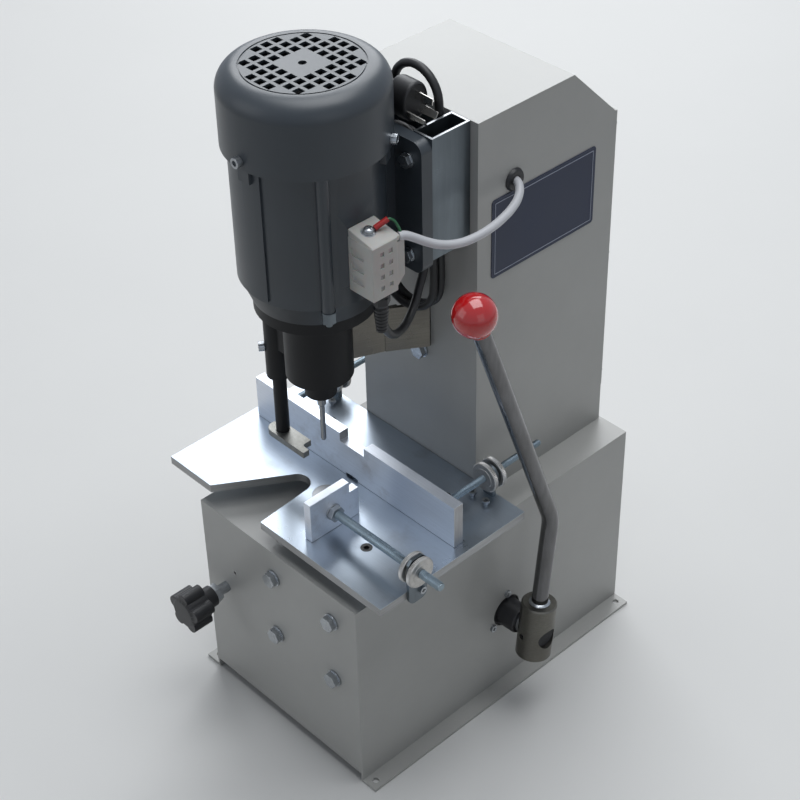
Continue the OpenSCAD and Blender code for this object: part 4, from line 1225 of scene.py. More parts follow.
@dataclass
class MainsLead:
    """Mains cable, tied in three long loops behind the motor, with its plug on top."""

    radius: float = 3.5
    gland: Point = (70.0, -101.2, 464.0)
    drop: tuple[Point, ...] = (  # points from the gland down to the loops, seen from it
        (0, 0, 0), (0, 0, -7), (-0.7, 2.4, -17), (-3.2, 8, -28), (-7.4, 16.6, -38),
        (-12.6, 27.4, -45.5), (-18.4, 39.6, -49), (-24, 51.6, -48), (-28.8, 62.6, -42),
        (-32.4, 71.4, -31.5), (-34.1, 78.4, -18))
    loop_x: float = 11.0
    loop_r: float = 24.5
    loop_y: tuple[float, float, float] = (-20.0, -12.4, -4.8)
    loop_low: float = 418.8
    loop_tops: tuple[float, float, float] = (538.0, 532.0, 585.0)
    plug: Point = (-4.0, -18.7, 592.0)
    plug_face: tuple[float, float] = (-23.2, 591.8)
    plug_tall: float = 16.5  # half the oval's height and width
    plug_wide: float = 13.0
    face_x: float = 9.5  # the barrel begins here, seen from the plug's start
    pins: tuple[tuple[float, float, float], ...] = (  # Y, Z and tilt of each
        (-23.0, 598.2, -7.0), (-18.5, 585.2, -31.0), (-30.4, 583.8, 20.0))

    def route(self) -> list[Point]:
        """Gives the centre line in metres, from the gland to the plug.

        Returns:
            The points of the line.
        """
        px, py, pz = self.plug
        left, right = self.loop_x - self.loop_r, self.loop_x + self.loop_r
        line: list[Point] = [tuple(a + b for a, b in zip(self.gland, d)) for d in self.drop]
        start = self.gland[2]
        for k, (y, top) in enumerate(zip(self.loop_y, self.loop_tops)):
            line += [(right, y, start + (top - start) * i / 4) for i in range(5)]
            line += [(self.loop_x + self.loop_r * math.cos(a), y,
                      top + self.loop_r * math.sin(a))
                     for a in (math.radians(22.5 * i) for i in range(1, 8))]
            if k < 2:
                start = self.loop_low
                line += [(left, y, top + (start - top) * i / 4) for i in range(5)]
                step = self.loop_y[k + 1] - y
                line += [(self.loop_x + self.loop_r * math.cos(a),
                          y + step * (1 - math.cos(a - math.pi)) / 2,
                          start + self.loop_r * math.sin(a))
                         for a in (math.radians(180 + 22.5 * i) for i in range(1, 8))]
        y = self.loop_y[2]
        line += [(left, y, self.loop_tops[2] - 1), (left - 0.6, y - 0.6, pz - 13),
                 (left - 1.7, y - 3.4, pz - 18.4), (left - 2.8, y - 7.8, pz - 19.9),
                 (left - 3.6, y - 11.8, pz - 17.4), (left - 3.7, py - 0.6, pz - 12),
                 (left - 2.6, py - 0.3, pz - 6), (left + 0.2, py, pz - 1.6),
                 (px - 8, py, pz), (px - 1, py, pz)]
        return [tuple(c * MM for c in p) for p in line]

    def build(self) -> None:
        """Makes the cable, its plug, its kink guard and the ties round the loops."""
        line = self.route()
        cable = Shop.tube("mains_lead", line, self.radius * MM, 16)
        Shop.dress(cable, Body.HEAD, "black_cable", "black_cable", ["mains_cable"])
        plug = self.make_plug()
        self.make_guard()
        self.make_tie()

    def make_plug(self) -> bpy.types.Object:
        """Makes the moulded plug: oval barrel with a rim and neck, and three flat pins.

        Returns:
            The plug.
        """
        x, y, z = self.plug
        cy, cz = self.plug_face
        tall, wide = self.plug_tall, self.plug_wide
        shell = Shop.turned("mains_plug_body", [(r * MM, h * MM) for r, h in (
            (0.0, -1.0), (4.3, -1.0), (5.0, -0.4), (5.4, 3.0), (6.4, 3.4), (6.4, 5.0),
            (5.8, 5.4), (5.8, 6.4), (7.0, 6.8), (7.0, 8.4), (6.4, 8.8), (7.4, 10.4),
            (10.6, 12.2), (14.2, 13.6), (15.8, 15.2), (tall, 17.6), (tall, 31.2),
            (16.2, 32.8), (15.2, 33.8), (14.6, 34.0), (14.0, 33.5), (13.6, 33.2),
            (0.0, 33.2))], 72)
        shell.data.transform(Matrix.Translation((x * MM, y * MM, z * MM)) @ Axis.X.turn())
        Shop.shift(shell, lambda v: v.x > x + self.face_x, (0.0, cy - y, cz - z))
        Shop.edit(shell, everything=True)
        bpy.ops.transform.resize(value=(1.0, wide / tall, 1.0),
                                 center_override=(x * MM, cy * MM, cz * MM))
        bpy.ops.object.mode_set(mode="OBJECT")
        Shop.shift(shell, lambda v: v.x < x + self.face_x,
                   (0.0, (y - cy) * (1 - wide / tall), 0.0))
        Shop.complete(shell, Body.HEAD, "black_cable", "black_cable", ["mains_plug"], 40.0)
        pins = []
        for py, pz, tilt in self.pins:
            pin = Shop.box("pin", (0.0, -0.8, -3.6), (19.5, 0.8, 3.6))
            Shop.pick(pin, Pick.FACES, lambda f: f.normal.x > 0.9)
            bpy.ops.transform.resize(value=(1.0, 0.6, 0.75))
            bpy.ops.object.mode_set(mode="OBJECT")
            Shop.bevel(pin, 0.0003, 2)
            pin.data.transform(
                Matrix.Translation(((x + 32.0) * MM, py * MM, pz * MM))
                @ Matrix.Rotation(math.radians(tilt), 4, "X"))
            pins.append(pin)
        blades = Shop.join("mains_plug_pins", pins)
        Shop.complete(blades, Body.HEAD, "nickel_pins", "brass_terminal")
        return shell

    def make_guard(self) -> None:
        """Makes the tapered kink guard below the gland."""
        x, y, z = (c * MM for c in self.gland)
        r = self.radius * MM
        outline = [(r + 0.0001, -0.022)]
        for i in range(7):
            top = -0.022 + 0.0032 * i
            grow = 0.0002 + 0.00028 * i
            outline += [(r + grow + 0.0006, top + 0.0002), (r + grow + 0.0006, top + 0.0020),
                        (r + grow, top + 0.0024), (r + grow, top + 0.0032)]
        outline += [(r + 0.0001, 0.0004), (r + 0.0001, -0.022)]
        guard = Shop.place(Shop.turned("gland_guard", outline, 40), (x, y, z))
        Shop.complete(guard, Body.HEAD, "black_plastic", "black_plastic", angle=40.0)

    def make_tie(self) -> None:
        """Makes the flat ties round the loops' legs."""
        for name, x, z in (("loop_tie_low", self.loop_x - self.loop_r, 456.0),
                           ("loop_tie_right", self.loop_x + self.loop_r, 490.0)):
            band = Shop.box(name, (x - 4.6, -24.5, z - 1.8), (x + 4.6, -7.9, z + 1.8))
            Shop.done(band)
            Shop.pick(band, Pick.FACES, lambda f: abs(f.normal.z) > 0.9)
            bpy.ops.mesh.inset(thickness=0.0009)
            bpy.ops.mesh.delete(type="FACE")
            bpy.ops.object.mode_set(mode="OBJECT")
            Shop.bevel(band, 0.0018, 3, 40.0)
            Shop.complete(band, Body.HEAD, "black_plastic", "black_plastic")


@dataclass
class MotorCable:
    """White cable from the terminal block into the tower."""

    radius: float = 3.5
    flange: float = 432.0
    line: tuple[Point, ...] = (
        (76, -87.5, 91.5), (77.4, -82.2, 90.6), (80.2, -76, 87.2), (84.4, -67.4, 81.4),
        (88.8, -56.4, 75.6), (92.6, -41.6, 71.4), (94.6, -24.4, 70.2), (94.2, -7.6, 70.5),
        (91.8, 8.4, 71.4), (88.2, 22.6, 73), (83.6, 33.4, 75.2), (78.4, 40.2, 78.2),
        (73.4, 43.2, 80.4), (69.5, 43.8, 80.7), (63, 43.8, 80.7))

    def build(self) -> None:
        """Makes the cable, whose line curves between the head and the tower."""
        line = [(x * MM, y * MM, (z + self.flange) * MM) for x, y, z in self.line]
        cable = Shop.tube("motor_lead", line, self.radius * MM, 20)
        cable.data.materials.append(Finishes.get("white_cable"))
        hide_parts("motor_cable")
        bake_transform(cable)


# ---- sub-assemblies ------------------------------------------------------------------------


@dataclass
class Housing:
    """Base and tower of folded sheet, with their covers, screws and plates."""

    softened: tuple[tuple, ...] = (
        ("base_housing", Body.FRAME, "housing_paint", "housing_paint", 0.8, 3),
        ("tower_housing", Body.FRAME, "housing_paint", "housing_paint", 0.8, 3),
        ("base_rear_panel", Body.FRAME, "housing_paint", "housing_paint", 0.5),
        ("tower_rear_cover", Body.FRAME, "housing_paint", "housing_paint", 0.5),
        ("pan_screws", Body.FRAME, "zinc_steel", "zinc_steel", 0.25),
        ("front_bolts", Body.FRAME, "zinc_steel", "zinc_steel", 0.45),
        ("guide_screws", Body.FRAME, "zinc_steel", "zinc_steel", 0.0),
        ("cable_grommet", Body.FRAME, "black_plastic", "black_plastic", 0.5),
        ("start_switch", Body.FRAME, "black_plastic", "black_plastic", 0.4),
        ("data_plate", Body.FRAME, "plate_print", "plate_print", 0.2))
    plate_low: tuple[float, float] = (19.0, 430.0)
    plate_high: tuple[float, float] = (140.0, 503.0)
    plate_x: float = 69.9
    rule_in: float = 3.5  # from the plate's edge to the line
    rule_wide: float = 0.7
    bush_x: float = 94.0

    def build(self) -> None:
        """Dresses the sheet metal and makes the data plate's border."""
        Shop.soften_all(self.softened)
        self.side_bearing()
        self.rule_plate()

    def side_bearing(self) -> None:
        """Makes the shaft's bearing: flange inside the wall, round boss outside."""
        bush = Shop.turned("side_bearing_bush", [(r * MM, h * MM) for r, h in (
            (10.1, 0.0), (27.2, 0.0), (28.0, 0.8), (28.0, 3.9), (14.6, 3.9), (13.6, 5.0),
            (13.2, 23.6), (12.4, 24.8), (11.6, 25.5), (10.1, 25.5), (10.1, 0.0))], 96)
        Shop.place(bush, (self.bush_x * MM, 0.013, 0.087), Axis.X)
        Shop.complete(bush, Body.FRAME, "black_plastic", "black_plastic", ["side_bearing"])

    def rule_plate(self) -> None:
        """Makes the thin light border line of the bare data plate."""
        x, half = self.plate_x, self.rule_wide / 2
        y0, z0 = (c + self.rule_in for c in self.plate_low)
        y1, z1 = (c - self.rule_in for c in self.plate_high)
        bars = []
        for low, high in (((y0, z0 - half), (y1, z0 + half)), ((y0, z1 - half), (y1, z1 + half)),
                          ((y0 - half, z0), (y0 + half, z1)), ((y1 - half, z0), (y1 + half, z1))):
            bar = Shop.done(Shop.box("rule", (x - 0.2, *low), (x + 0.2, *high)))
            Shop.bevel(bar, 0.00008, 1)
            bars.append(bar)
        border = Shop.join("data_plate_border", bars)
        Shop.complete(border, Body.FRAME, "plate_rule", "plate_print")


@dataclass
class InnerWorks:
    """Shaft, crank, lift plate, rods, carriage and springs inside base and tower."""

    softened: tuple[tuple, ...] = (
        ("bearing_plates", Body.FRAME, "milled_steel", "plain_steel", 0.5),
        ("guide_blocks", Body.FRAME, "milled_steel", "plain_steel", 0.5),
        ("guide_rods", Body.FRAME, "ground_rod", "ground_steel", 0.4),
        ("carriage", Body.HEAD, "milled_steel", "plain_steel", 0.5),
        ("lift_plate", Body.HEAD, "milled_steel", "plain_steel", 0.5),
        ("spindle_bearings", Body.HEAD, "ground_rod", "ground_steel", 0.4),
        ("stop_block", Body.STOP, "milled_steel", "plain_steel", 0.5))
    spring_aside: float = 45.0  # from the drill's axis
    spring_y: float = 28.0
    spring_r: float = 10.2
    spring_z: tuple[float, float] = (348.3, 478.7)
    turns: int = 14

    def build(self) -> None:
        """Dresses the hidden machinery and winds the springs."""
        Shop.soften_all(self.softened)
        self.wind_springs()

    def wind(self, name: str, radius: float, wire: float, low: float, high: float,
             turns: int, at: tuple[float, float]) -> bpy.types.Object:
        """Winds one pressure spring.

        Args:
            name: Name of the spring.
            radius: Mean radius in millimetres.
            wire: Radius of the wire.
            low: Height of the wire's centre at the lower end.
            high: Height at the upper end.
            turns: Number of turns.
            at: X and Y of its axis.

        Returns:
            The spring.
        """
        per = 24
        line = [((at[0] + radius * math.cos(2 * math.pi * i / per)) * MM,
                 (at[1] + radius * math.sin(2 * math.pi * i / per)) * MM,
                 (low + (high - low) * i / (turns * per)) * MM)
                for i in range(turns * per + 1)]
        return Shop.tube(name, line, wire * MM, 8, smooth=False)

    def wind_springs(self) -> None:
        """Makes the return springs and the presser's spring."""
        low, high = self.spring_z
        pair = [self.wind("return_spring", self.spring_r, 1.2, low, high, self.turns,
                          (DRILL_X + s * self.spring_aside, self.spring_y)) for s in (-1, 1)]
        springs = Shop.join("return_springs_wound", pair)
        Shop.done(springs, 60.0)
        springs.data.materials.append(Finishes.get("ground_rod"))
        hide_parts("return_springs")
        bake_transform(springs)
        small = self.wind("presser_spring_wound", 4.4, 0.7, 385.8, 427.2, 9, (-61.0, -100.5))
        small.data.materials.append(Finishes.get("ground_rod"))
        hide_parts("presser_spring")
        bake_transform(small)


@dataclass
class Table:
    """Table plate, fence, side guide and their brackets, rods and knurled nuts."""

    softened: tuple[tuple, ...] = (
        ("table_spacers", Body.FRAME, "zinc_steel", "zinc_steel", 0.4),
        ("table_screws", Body.FRAME, "black_screws", "black_screws", 0.25),
        ("drill_pad", Body.FRAME, "milled_steel", "plain_steel", 0.3),
        ("side_guide", Body.SIDE_STOP, "alloy_bar", "alloy", 0.4))
    rod_aside: float = 97.5  # from the drill's axis
    rod_z: float = 250.0
    guide_y: float = -126.0
    guide_z: float = 248.5
    nut_r: float = 14.0
    nut_t: float = 5.0
    foot_x: float = 126.0  # the side guide's bracket lies beyond it

    def build(self) -> None:
        """Dresses the table and makes threaded rods and knurled nuts."""
        plate = Shop.soften("table_plate", Body.FRAME, "table_steel", "ground_steel", 0.45, 2)
        Shop.second_finish(plate, "cut_edge", lambda n: abs(n.z) < 0.05)
        Shop.soften_all(self.softened)
        self.round_bracket()
        fence = Shop.soften("fence_bar", Body.FENCE, "alloy_bar", "alloy", 0.4)
        Shop.second_finish(fence, "sawn_end", lambda n: abs(n.x) > 0.99)
        for side, sign, node in (("left", -1, ["fence_rods"]), ("right", 1, [])):
            rod = self.thread(f"fence_rod_{side}", 3.0, 129.0, 1.0)
            Shop.place(rod, ((DRILL_X + sign * self.rod_aside) * MM, -0.069, self.rod_z * MM),
                       Axis.Y)
            Shop.complete(rod, Body.FENCE, "zinc_blue", "zinc_steel", node)
        rod = self.thread("guide_rod_thread", 4.0, 136.5, 1.25)
        Shop.place(rod, (0.022, self.guide_y * MM, self.guide_z * MM), Axis.X)
        Shop.complete(rod, Body.SIDE_STOP, "zinc_blue", "zinc_steel", ["guide_rod"])
        self.lock_nut()
        for side, sign, body in (("left", -1, Body.LEFT_NUT), ("right", 1, Body.RIGHT_NUT)):
            x = DRILL_X + sign * self.rod_aside
            self.nut_pair(f"knurled_{side}", body, Axis.Y, 3.04, f"fence_nuts_{side}",
                          ((x, -8.5, self.rod_z), (x, 1.5, self.rod_z)))
        self.nut_pair("knurled_guide", Body.GUIDE_NUT, Axis.X, 4.04, "guide_nuts",
                      ((122.0, self.guide_y, self.guide_z), (131.0, self.guide_y, self.guide_z)))

    def nut_pair(self, name: str, body: Body, axis: Axis, bore: float, node: str,
                 spots: Iterable[Point]) -> None:
        """Makes two knurled nuts that turn as one.

        Args:
            name: Name of the pair.
            body: Body that carries it.
            axis: Direction of its rod.
            bore: Radius of the holes in millimetres.
            node: Node that it stands for.
            spots: Place of each nut's first face.
        """
        pair = [Shop.place(self.knurled(name, bore), tuple(c * MM for c in spot), axis)
                for spot in spots]
        Shop.complete(Shop.join(name, pair), body, "knurled_alloy", "zinc_steel", [node], 30.0)

    def round_bracket(self) -> None:
        """Dresses the brackets; the side guide's one gets its short, rounded foot."""
        brackets = Shop.cleaned_copy("stop_brackets")
        Shop.shift(brackets, lambda v: v.x > self.foot_x and v.z < 210, (0.0, 0.0, 6.0))

        def across_foot(edge: bpy.types.MeshEdge) -> bool:
            """Says whether an edge runs through the sheet at the foot."""
            a, b = (brackets.data.vertices[i].co / MM for i in edge.vertices)
            return a.z < 216 and b.z < 216 and abs(a.x - b.x) > 2.5

        Shop.pick(brackets, Pick.EDGES, across_foot)
        bpy.ops.mesh.bevel(offset=6.5 * MM, segments=8, affect="EDGES")
        bpy.ops.object.mode_set(mode="OBJECT")
        Shop.bevel(brackets, 0.4 * MM, 2)
        Shop.complete(brackets, Body.FRAME, "zinc_tube", "zinc_steel", ["stop_brackets"])

    def thread(self, name: str, radius: float, length: float, pitch: float) -> bpy.types.Object:
        """Makes a threaded rod along Z.

        Args:
            name: Name of the rod.
            radius: Outer radius in millimetres.
            length: Its length.
            pitch: Its pitch.

        Returns:
            The rod, from the origin up.
        """
        core = radius - 0.45 * pitch
        turns = int((length - 2.0) / pitch)
        profile = [(core * MM, 0.0), (radius * MM, 0.44 * pitch * MM),
                   (radius * MM, 0.56 * pitch * MM), (core * MM, pitch * MM)]
        rod = Shop.screwed(name, profile, pitch * MM, turns, 20)
        rod.data.transform(Matrix.Translation((0, 0, 0.0005)))
        inner = Shop.turned(name + "_core", [
            (0.0, 0.0), ((core - 0.1) * MM, 0.0), (core * MM + 0.00012, 0.0006),
            (core * MM + 0.00012, (length - 0.6) * MM), ((core - 0.1) * MM, length * MM),
            (0.0, length * MM)], 24)
        return Shop.join(name, [rod, inner])

    def knurled(self, name: str, bore: float) -> bpy.types.Object:
        """Makes one knurled nut along Z.

        Args:
            name: Name of the nut.
            bore: Radius of its hole in millimetres.

        Returns:
            The nut, from the origin up.
        """
        r, t, b = self.nut_r * MM, self.nut_t * MM, bore * MM
        nut = Shop.turned(name, [
            (b, 0.0), (r * 0.62, 0.0), (r * 0.64, 0.0003), (r - 0.0010, 0.0003),
            (r, 0.0012), (r, t - 0.0012), (r - 0.0010, t - 0.0003), (r * 0.64, t - 0.0003),
            (r * 0.62, t), (b, t), (b, 0.0)], 120)

        def in_groove(v: bpy.types.MeshVertex) -> bool:
            """Says whether a point is every second one of the rim."""
            step = round(math.degrees(math.atan2(v.co.y, v.co.x)) / 3.0)
            return math.hypot(v.co.x, v.co.y) > r - 1e-5 and step % 2 == 0

        Shop.pick(nut, Pick.POINTS, in_groove)
        bpy.ops.transform.resize(value=(0.958, 0.958, 1.0), center_override=(0, 0, 0))
        bpy.ops.object.mode_set(mode="OBJECT")
        return nut

    def lock_nut(self) -> None:
        """Makes the hexagon nut and washer that hold the side guide on its rod."""
        y, z = self.guide_y * MM, self.guide_z * MM
        nut = Shop.primitive(bpy.ops.mesh.primitive_cylinder_add, "nut", vertices=6,
                             radius=0.0075, depth=0.0052)
        Shop.bevel(nut, 0.0005, 2)
        Shop.place(nut, (0.0338, y, z), Axis.X)
        washer = Shop.place(Shop.turned("washer", [
            (0.0041, 0.0), (0.0073, 0.0), (0.0075, 0.0002), (0.0075, 0.0010), (0.0073, 0.0012),
            (0.0041, 0.0012), (0.0041, 0.0)], 40), (0.030, y, z), Axis.X)
        lock = Shop.join("guide_lock_nut", [nut, washer])
        Shop.complete(lock, Body.SIDE_STOP, "zinc_steel", "zinc_steel", angle=30.0)


@dataclass
class Head:
    """Motor, spindle housing, presser and what hangs on the carriage."""

    softened: tuple[tuple, ...] = (
        # The end shield takes the darker copy of the motor paint: painted shade under the motor.
        ("end_shield", Body.HEAD, "shield_paint", "motor_paint", 0.7, 3),
        ("fan_cover", Body.HEAD, "motor_paint", "motor_paint", 0.35, 2),
        ("spindle_housing", Body.HEAD, "spindle_black", "motor_paint", 0.6, 3),
        ("rear_bracket", Body.HEAD, "bent_stainless", "sheet_steel", 0.4),
        ("foot_bolts", Body.HEAD, "zinc_steel", "zinc_steel", 0.4),
        ("head_screws", Body.HEAD, "zinc_steel", "zinc_steel", 0.25),
        ("tie_bolts", Body.HEAD, "zinc_tube", "zinc_steel", 0.3),
        ("mains_gland", Body.HEAD, "black_plastic", "black_plastic", 0.3),
        ("spindle", Body.SPINDLE, "spindle_black", "ground_steel", 0.4),
        ("cooling_fan", Body.SPINDLE, "black_plastic", "black_plastic", 0.3),
        ("drill_bit", Body.SPINDLE, "ground_rod", "ground_steel", 0.0),
        ("presser_rod", Body.PRESSER, "spindle_black", "ground_steel", 0.5),
        ("presser_foot", Body.PRESSER, "cast_finger", "ground_steel", 0.4))
    base_side: float = 61.0  # the terminal base lies beyond it
    base_mid: tuple[float, float] = (-104.0, 500.0)  # its middle in Y and Z
    block_x: tuple[float, float] = (52.6, 79.5)
    block_y: tuple[float, float] = (-116.7, -91.4)
    window_y: tuple[float, ...] = (-107.1, -98.5)
    window_z: tuple[float, ...] = (517.6, 507.7, 497.8, 487.9)
    lid_rise: float = 6.2

    def build(self) -> None:
        """Dresses the head."""
        self.trim_motor()
        Shop.soften_all(self.softened)
        tubes = Shop.soften("head_frame", Body.HEAD, "zinc_tube", "sheet_steel", 0.5, 2)
        # Faces that point up get the lighter zinc_steel: painted light on the tubes' tops, as lit
        # from above.
        Shop.second_finish(tubes, "zinc_steel", lambda n: n.z > 0.6)
        self.terminal_block()
        self.earth_screw()
        self.earth_wire()

    def trim_motor(self) -> None:
        """Dresses the motor body, whose terminal base is drawn back to a cast plinth."""
        body = Shop.cleaned_copy("motor_body")
        side, (mid_y, mid_z) = self.base_side, self.base_mid
        for front, by in ((True, (-8.2, 6.6)), (False, (-8.2, -1.4))):
            for lower, up in ((True, 4.0), (False, -15.0)):
                Shop.shift(body, lambda v: v.x > side and (v.z < mid_z) == lower
                           and (v.y < mid_y) == front, (*by, up))
        Shop.bevel(body, 0.0009, 3)
        Shop.complete(body, Body.HEAD, "motor_paint", "motor_paint", ["motor_body"])

    def terminal_block(self) -> None:
        """Makes the nylon terminal block: slanted lid, side plate, wire windows."""
        x0, x1 = self.block_x
        y0, y1 = self.block_y
        block = Shop.box("terminal_block_moulded", (x0, y0, 479.0), (x1, y1, 526.2))
        Shop.bevel(block, 0.0007, 3)
        lid = Shop.box("lid", (x0 - 0.1, y0 + 0.5, 522.6), (x1 - 0.5, y1 + 3.2, 526.4))
        Shop.shift(lid, lambda v: v.x < x0 + 1 and v.z > 525, (0.0, 0.0, self.lid_rise))
        Shop.shift(lid, lambda v: v.x < x0 + 1 and v.z > 525 and v.y > y1, (0.0, -1.6, 0.0))
        Shop.bevel(lid, 0.0008, 3)
        side = Shop.box("side", (x0 + 0.2, y1 - 0.4, 481.0), (x1 - 0.9, y1 + 8.0, 521.2))
        Shop.shift(side, lambda v: v.y > y1 + 5 and v.z < 490, (0.0, 0.0, 8.5))
        Shop.bevel(side, 0.0007, 3)
        Shop.carve(block, [lid, side], Fit.FUSE)
        windows = [Shop.box("window", (x1 - 1.3, y - 2.0, z - 2.2), (x1 + 2.0, y + 2.0, z + 2.2))
                   for y in self.window_y for z in self.window_z]
        windows += [Shop.box("window", (x0 + 3.5, y0 - 2.0, z - 3.6),
                             (x0 + 17.0, y0 + 1.2, z + 3.6)) for z in (514.5, 503.0, 491.5)]
        for window in windows:
            Shop.bevel(window, 0.0006, 2)
        Shop.carve(block, windows)
        screws = [Shop.bar("clamp", 1.4, (x1 - 1.9, y, z), 1.0, Axis.X, 20)
                  for y in self.window_y for z in self.window_z]
        clamps = Shop.join("terminal_clamps", screws)
        Shop.complete(clamps, Body.HEAD, "zinc_steel", "brass_terminal")
        Shop.complete(block, Body.HEAD, "nylon", "nylon", ["terminal_block"], 30.0)

    def earth_screw(self) -> None:
        """Makes the earth screw on the lid with its washer, ring and cross recess."""
        slope = Vector((0, 0, 1)).rotation_difference(Vector((self.lid_rise, 0.0, 26.0)))
        at = Matrix.Translation((0.0635, -0.1057, 0.5296)) @ slope.to_matrix().to_4x4()
        washer = Shop.turned("earth_washer", [
            (0.0, -0.001), (0.0056, -0.001), (0.0058, -0.0008), (0.0058, 0.0006),
            (0.0056, 0.0008), (0.0, 0.0008)], 48)
        ring = Shop.turned("earth_ring", [
            (0.0, 0.0008), (0.0046, 0.0008), (0.0048, 0.0010), (0.0048, 0.0015),
            (0.0046, 0.0017), (0.0, 0.0017)], 48)
        head = Shop.turned("earth_head", [
            (0.0, 0.0015), (0.0040, 0.0015), (0.0041, 0.0024), (0.0038, 0.0036),
            (0.0030, 0.0043), (0.0014, 0.0046), (0.0, 0.0046)], 48)
        Shop.carve(head, [Shop.box("slot", (-2.6, -0.5, 3.0), (2.6, 0.5, 6.0)),
                          Shop.box("slot", (-0.5, -2.6, 3.0), (0.5, 2.6, 6.0))])
        screw = Shop.join("earth_screw", [washer, ring, head])
        screw.data.transform(at)
        Shop.complete(screw, Body.HEAD, "zinc_steel", "brass_terminal", ["earth_terminal"])

    def earth_wire(self) -> None:
        """Makes the green earth wire with its red sleeve."""
        wire = Shop.tube("earth_wire", [
            (0.0676, -0.0950, 0.5350), (0.0692, -0.0900, 0.5368), (0.0712, -0.0872, 0.5350),
            (0.0734, -0.0856, 0.5312), (0.0752, -0.0850, 0.5276), (0.0760, -0.0846, 0.5246)],
            0.0011, 12)
        Shop.dress(wire, Body.HEAD, "green_wire", "black_cable")
        tongue = Shop.box("earth_tongue", (63.0, -103.0, 531.2), (66.4, -97.2, 532.0))
        Shop.bevel(tongue, 0.0003, 2)
        Shop.complete(tongue, Body.HEAD, "zinc_steel", "brass_terminal")
        sleeve = Shop.tube("earth_sleeve", [
            (0.0652, -0.1008, 0.5318), (0.0664, -0.0970, 0.5336), (0.0676, -0.0935, 0.5353),
            (0.0686, -0.0905, 0.5367)], 0.0023, 20)
        Shop.dress(sleeve, Body.HEAD, "red_sleeve", "black_cable")


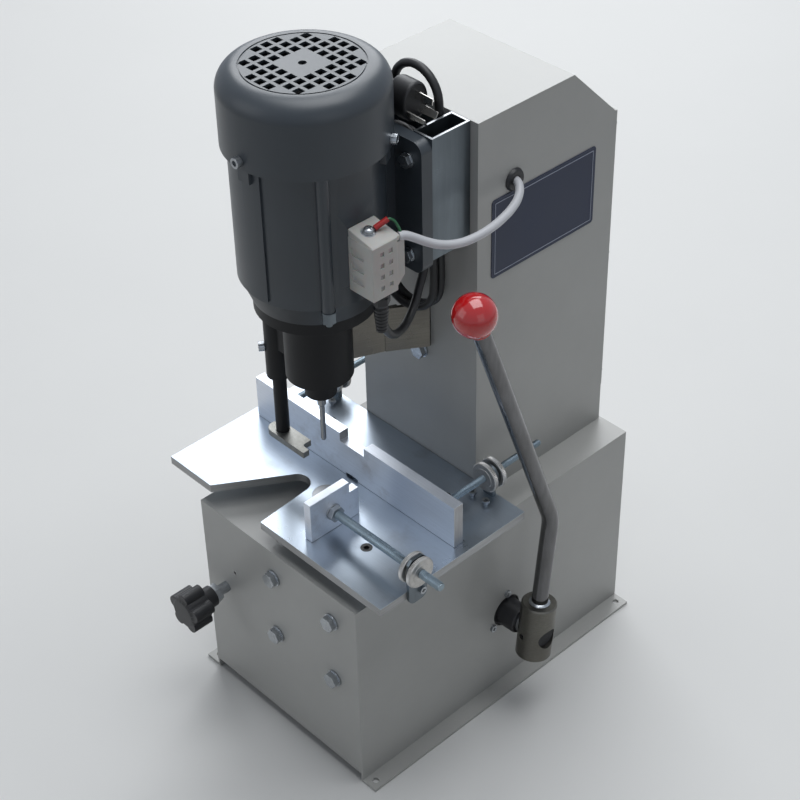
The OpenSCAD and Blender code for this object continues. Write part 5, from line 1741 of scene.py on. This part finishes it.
@dataclass
class Lever:
    """Lever with hub, bent rod and ball."""

    at: Point = (136.0, 13.0, 87.0)
    lean: float = 6.5
    bend: float = 26.6
    lower: float = 126.0
    upper: float = 276.5
    rod_r: float = 7.5
    hub_r: float = 16.0
    bend_r: float = 40.0
    ball_r: float = 17.75
    foot: float = 12.0  # the rod's start in the hub
    screw_aside: float = -10.0  # turn of the set screw in degrees

    def lean_matrix(self) -> Matrix:
        """Gives the place of the lever's own frame, Z along its lower part."""
        x, y, z = (c * MM for c in self.at)
        return Matrix.Translation((x, y, z)) @ Matrix.Rotation(math.radians(-self.lean), 4, "X")

    def build(self) -> None:
        """Dresses hub and shaft, bends the rod and turns the ball."""
        self.dress_shaft()
        Shop.soften("crank_arm", Body.LEVER, "milled_steel", "plain_steel", 0.5)
        Shop.soften("crank_roller", Body.LEVER, "ground_rod", "ground_steel", 0.3)
        self.turn_hub()
        self.bend_rod()
        self.turn_ball()

    def dress_shaft(self) -> None:
        """Dresses the cross shaft, whose end lies back in the hub's bore under a near-black disc:
        black, deepened as painted shade of the bore.
        """
        shaft = Shop.cleaned_copy("lever_shaft")
        Shop.shift(shaft, lambda v: v.x > self.at[0] + self.hub_r - 0.5, (-7.0, 0.0, 0.0))
        Shop.bevel(shaft, 0.0004, 2)
        Shop.complete(shaft, Body.LEVER, "ground_rod", "ground_steel", ["lever_shaft"])
        # A near-black disc on the shaft's end, deep in the bore: the end's black and painted shade
        # of the bore.
        cap = Shop.bar("shaft_end_dark_disc", 9.95, (self.at[0] + 9.9, self.at[1], self.at[2]), 2.3,
                       Axis.X, 64)
        Shop.bevel(cap, 0.0008, 3)
        Shop.complete(cap, Body.LEVER, "black_with_bore_shade", "black_plastic")

    def turn_hub(self) -> None:
        """Turns the hub and bores it for shaft, rod and set screw."""
        r = self.hub_r * MM
        hub = Shop.turned("lever_hub_turned", [
            (0.0, -0.025), (r - 0.0012, -0.025), (r, -0.0238), (r, 0.0318), (r - 0.0012, 0.033),
            (0.0, 0.033)], 128)
        aside = Matrix.Rotation(math.radians(self.screw_aside), 4, "Z")
        hole = Shop.bar("screw_hole", 2.7, (0.0, -20.0, -1.0), 9.0, Axis.Y, 32)
        hole.data.transform(aside)
        Shop.carve(hub, [
            Shop.bar("cross_bore", 10.0, (-20.0, 0.0, 0.0), 40.0, Axis.X, 96),
            Shop.bar("rod_bore", 7.55, (0.0, 0.0, 12.0), 30.0, Axis.Z, 64), hole])
        hub.data.transform(self.lean_matrix())
        Shop.complete(hub, Body.LEVER, "turned_hub", "plain_steel", ["lever_hub"], 30.0)
        screw = Shop.bar("hub_set_screw", 2.5, (0.0, -14.6, -1.0), 4.0, Axis.Y, 32)
        Shop.carve(screw, [Shop.bar("socket", 1.4, (0.0, -16.0, -1.0), 3.4, Axis.Y, 6)])
        screw.data.transform(self.lean_matrix() @ aside)
        Shop.complete(screw, Body.LEVER, "black_screws", "black_screws", angle=30.0)

    def bend_rod(self) -> None:
        """Makes the rod: straight, a bend by spin, straight, and its collar."""
        tangent = self.bend_r * math.tan(math.radians(self.bend / 2))
        foot = self.foot * MM
        rod = Shop.primitive(bpy.ops.mesh.primitive_circle_add, "lever_rod_bent", vertices=40,
                             radius=self.rod_r * MM, fill_type="NGON", location=(0, 0, foot))
        Shop.edit(Shop.done(rod), Pick.FACES, everything=True)
        start = (self.lower - tangent) * MM
        bpy.ops.mesh.extrude_region_move(
            TRANSFORM_OT_translate={"value": (0, 0, start - foot)})
        bpy.ops.mesh.spin(steps=16, angle=-math.radians(self.bend),
                          center=(0, -self.bend_r * MM, start), axis=(1, 0, 0))
        run = (self.upper - tangent - 8.0) * MM
        a = math.radians(self.bend)
        bpy.ops.mesh.extrude_region_move(TRANSFORM_OT_translate={
            "value": (0, -run * math.sin(a), run * math.cos(a))})
        Shop.close_seams()
        r = self.rod_r * MM
        collar = Shop.turned("rod_collar", [
            (r - 0.0002, 0.0328), (0.0096, 0.0328), (0.0096, 0.0334), (0.0082, 0.0346),
            (r - 0.0002, 0.0348), (r - 0.0002, 0.0328)], 64)
        for piece, finish, nodes in ((rod, "chromed_rod", ["lever_rod"]),
                                     (collar, "zinc_steel", [])):
            piece.data.transform(self.lean_matrix())
            Shop.complete(piece, Body.LEVER, finish, "ground_steel", nodes, 30.0)

    def turn_ball(self) -> None:
        """Turns the ball with its short neck."""
        r = self.ball_r * MM
        neck = 0.0090
        low = math.asin(neck / r)
        outline = [(self.rod_r * MM, -r - 0.001), (neck - 0.0004, -r - 0.001),
                   (neck, -r - 0.0006), (neck, -r * math.cos(low))]
        outline += [(r * math.sin(low + (math.pi - low) * i / 36),
                     -r * math.cos(low + (math.pi - low) * i / 36)) for i in range(1, 37)]
        outline[-1] = (0.0, r)
        ball = Shop.turned("ball_grip", outline, 72)
        top = Matrix.Translation((0, 0, self.lower * MM)) @ Matrix.Rotation(
            math.radians(self.bend), 4, "X") @ Matrix.Translation((0, 0, self.upper * MM))
        ball.data.transform(self.lean_matrix() @ top)
        Shop.complete(ball, Body.LEVER, "red_ball", "red_ball", ["lever_ball"], 40.0)


@dataclass
class Knob:
    """Star knob with its screw on the front panel."""

    nut_y: tuple[float, float] = (-173.6, -167.1)
    nut_step: float = -10.3

    def build(self) -> None:
        """Dresses knob and screw; the hexagon nut sits tight behind the knob."""
        Shop.soften("star_knob", Body.KNOB, "black_plastic", "black_plastic", 1.6, 4)
        low, high = self.nut_y
        screw = Shop.cleaned_copy("depth_screw")
        Shop.shift(screw, lambda v: low < v.y < high, (0.0, self.nut_step, 0.0))
        Shop.bevel(screw, 0.3 * MM, 2)
        Shop.complete(screw, Body.KNOB, "zinc_steel", "zinc_steel", ["depth_screw"])


def main() -> None:
    """Builds the scene: camera and cables first, then every sub-assembly."""
    logging.basicConfig(level=logging.INFO, format="%(name)s: %(message)s")
    Shop.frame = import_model()
    PhotoCamera().build()
    MainsLead().build()
    MotorCable().build()
    for assembly in (Housing(), InnerWorks(), Table(), Head(), Lever(), Knob(), Studio()):
        assembly.build()
        log.info("built %s", type(assembly).__name__)


if __name__ == "__main__":
    main()
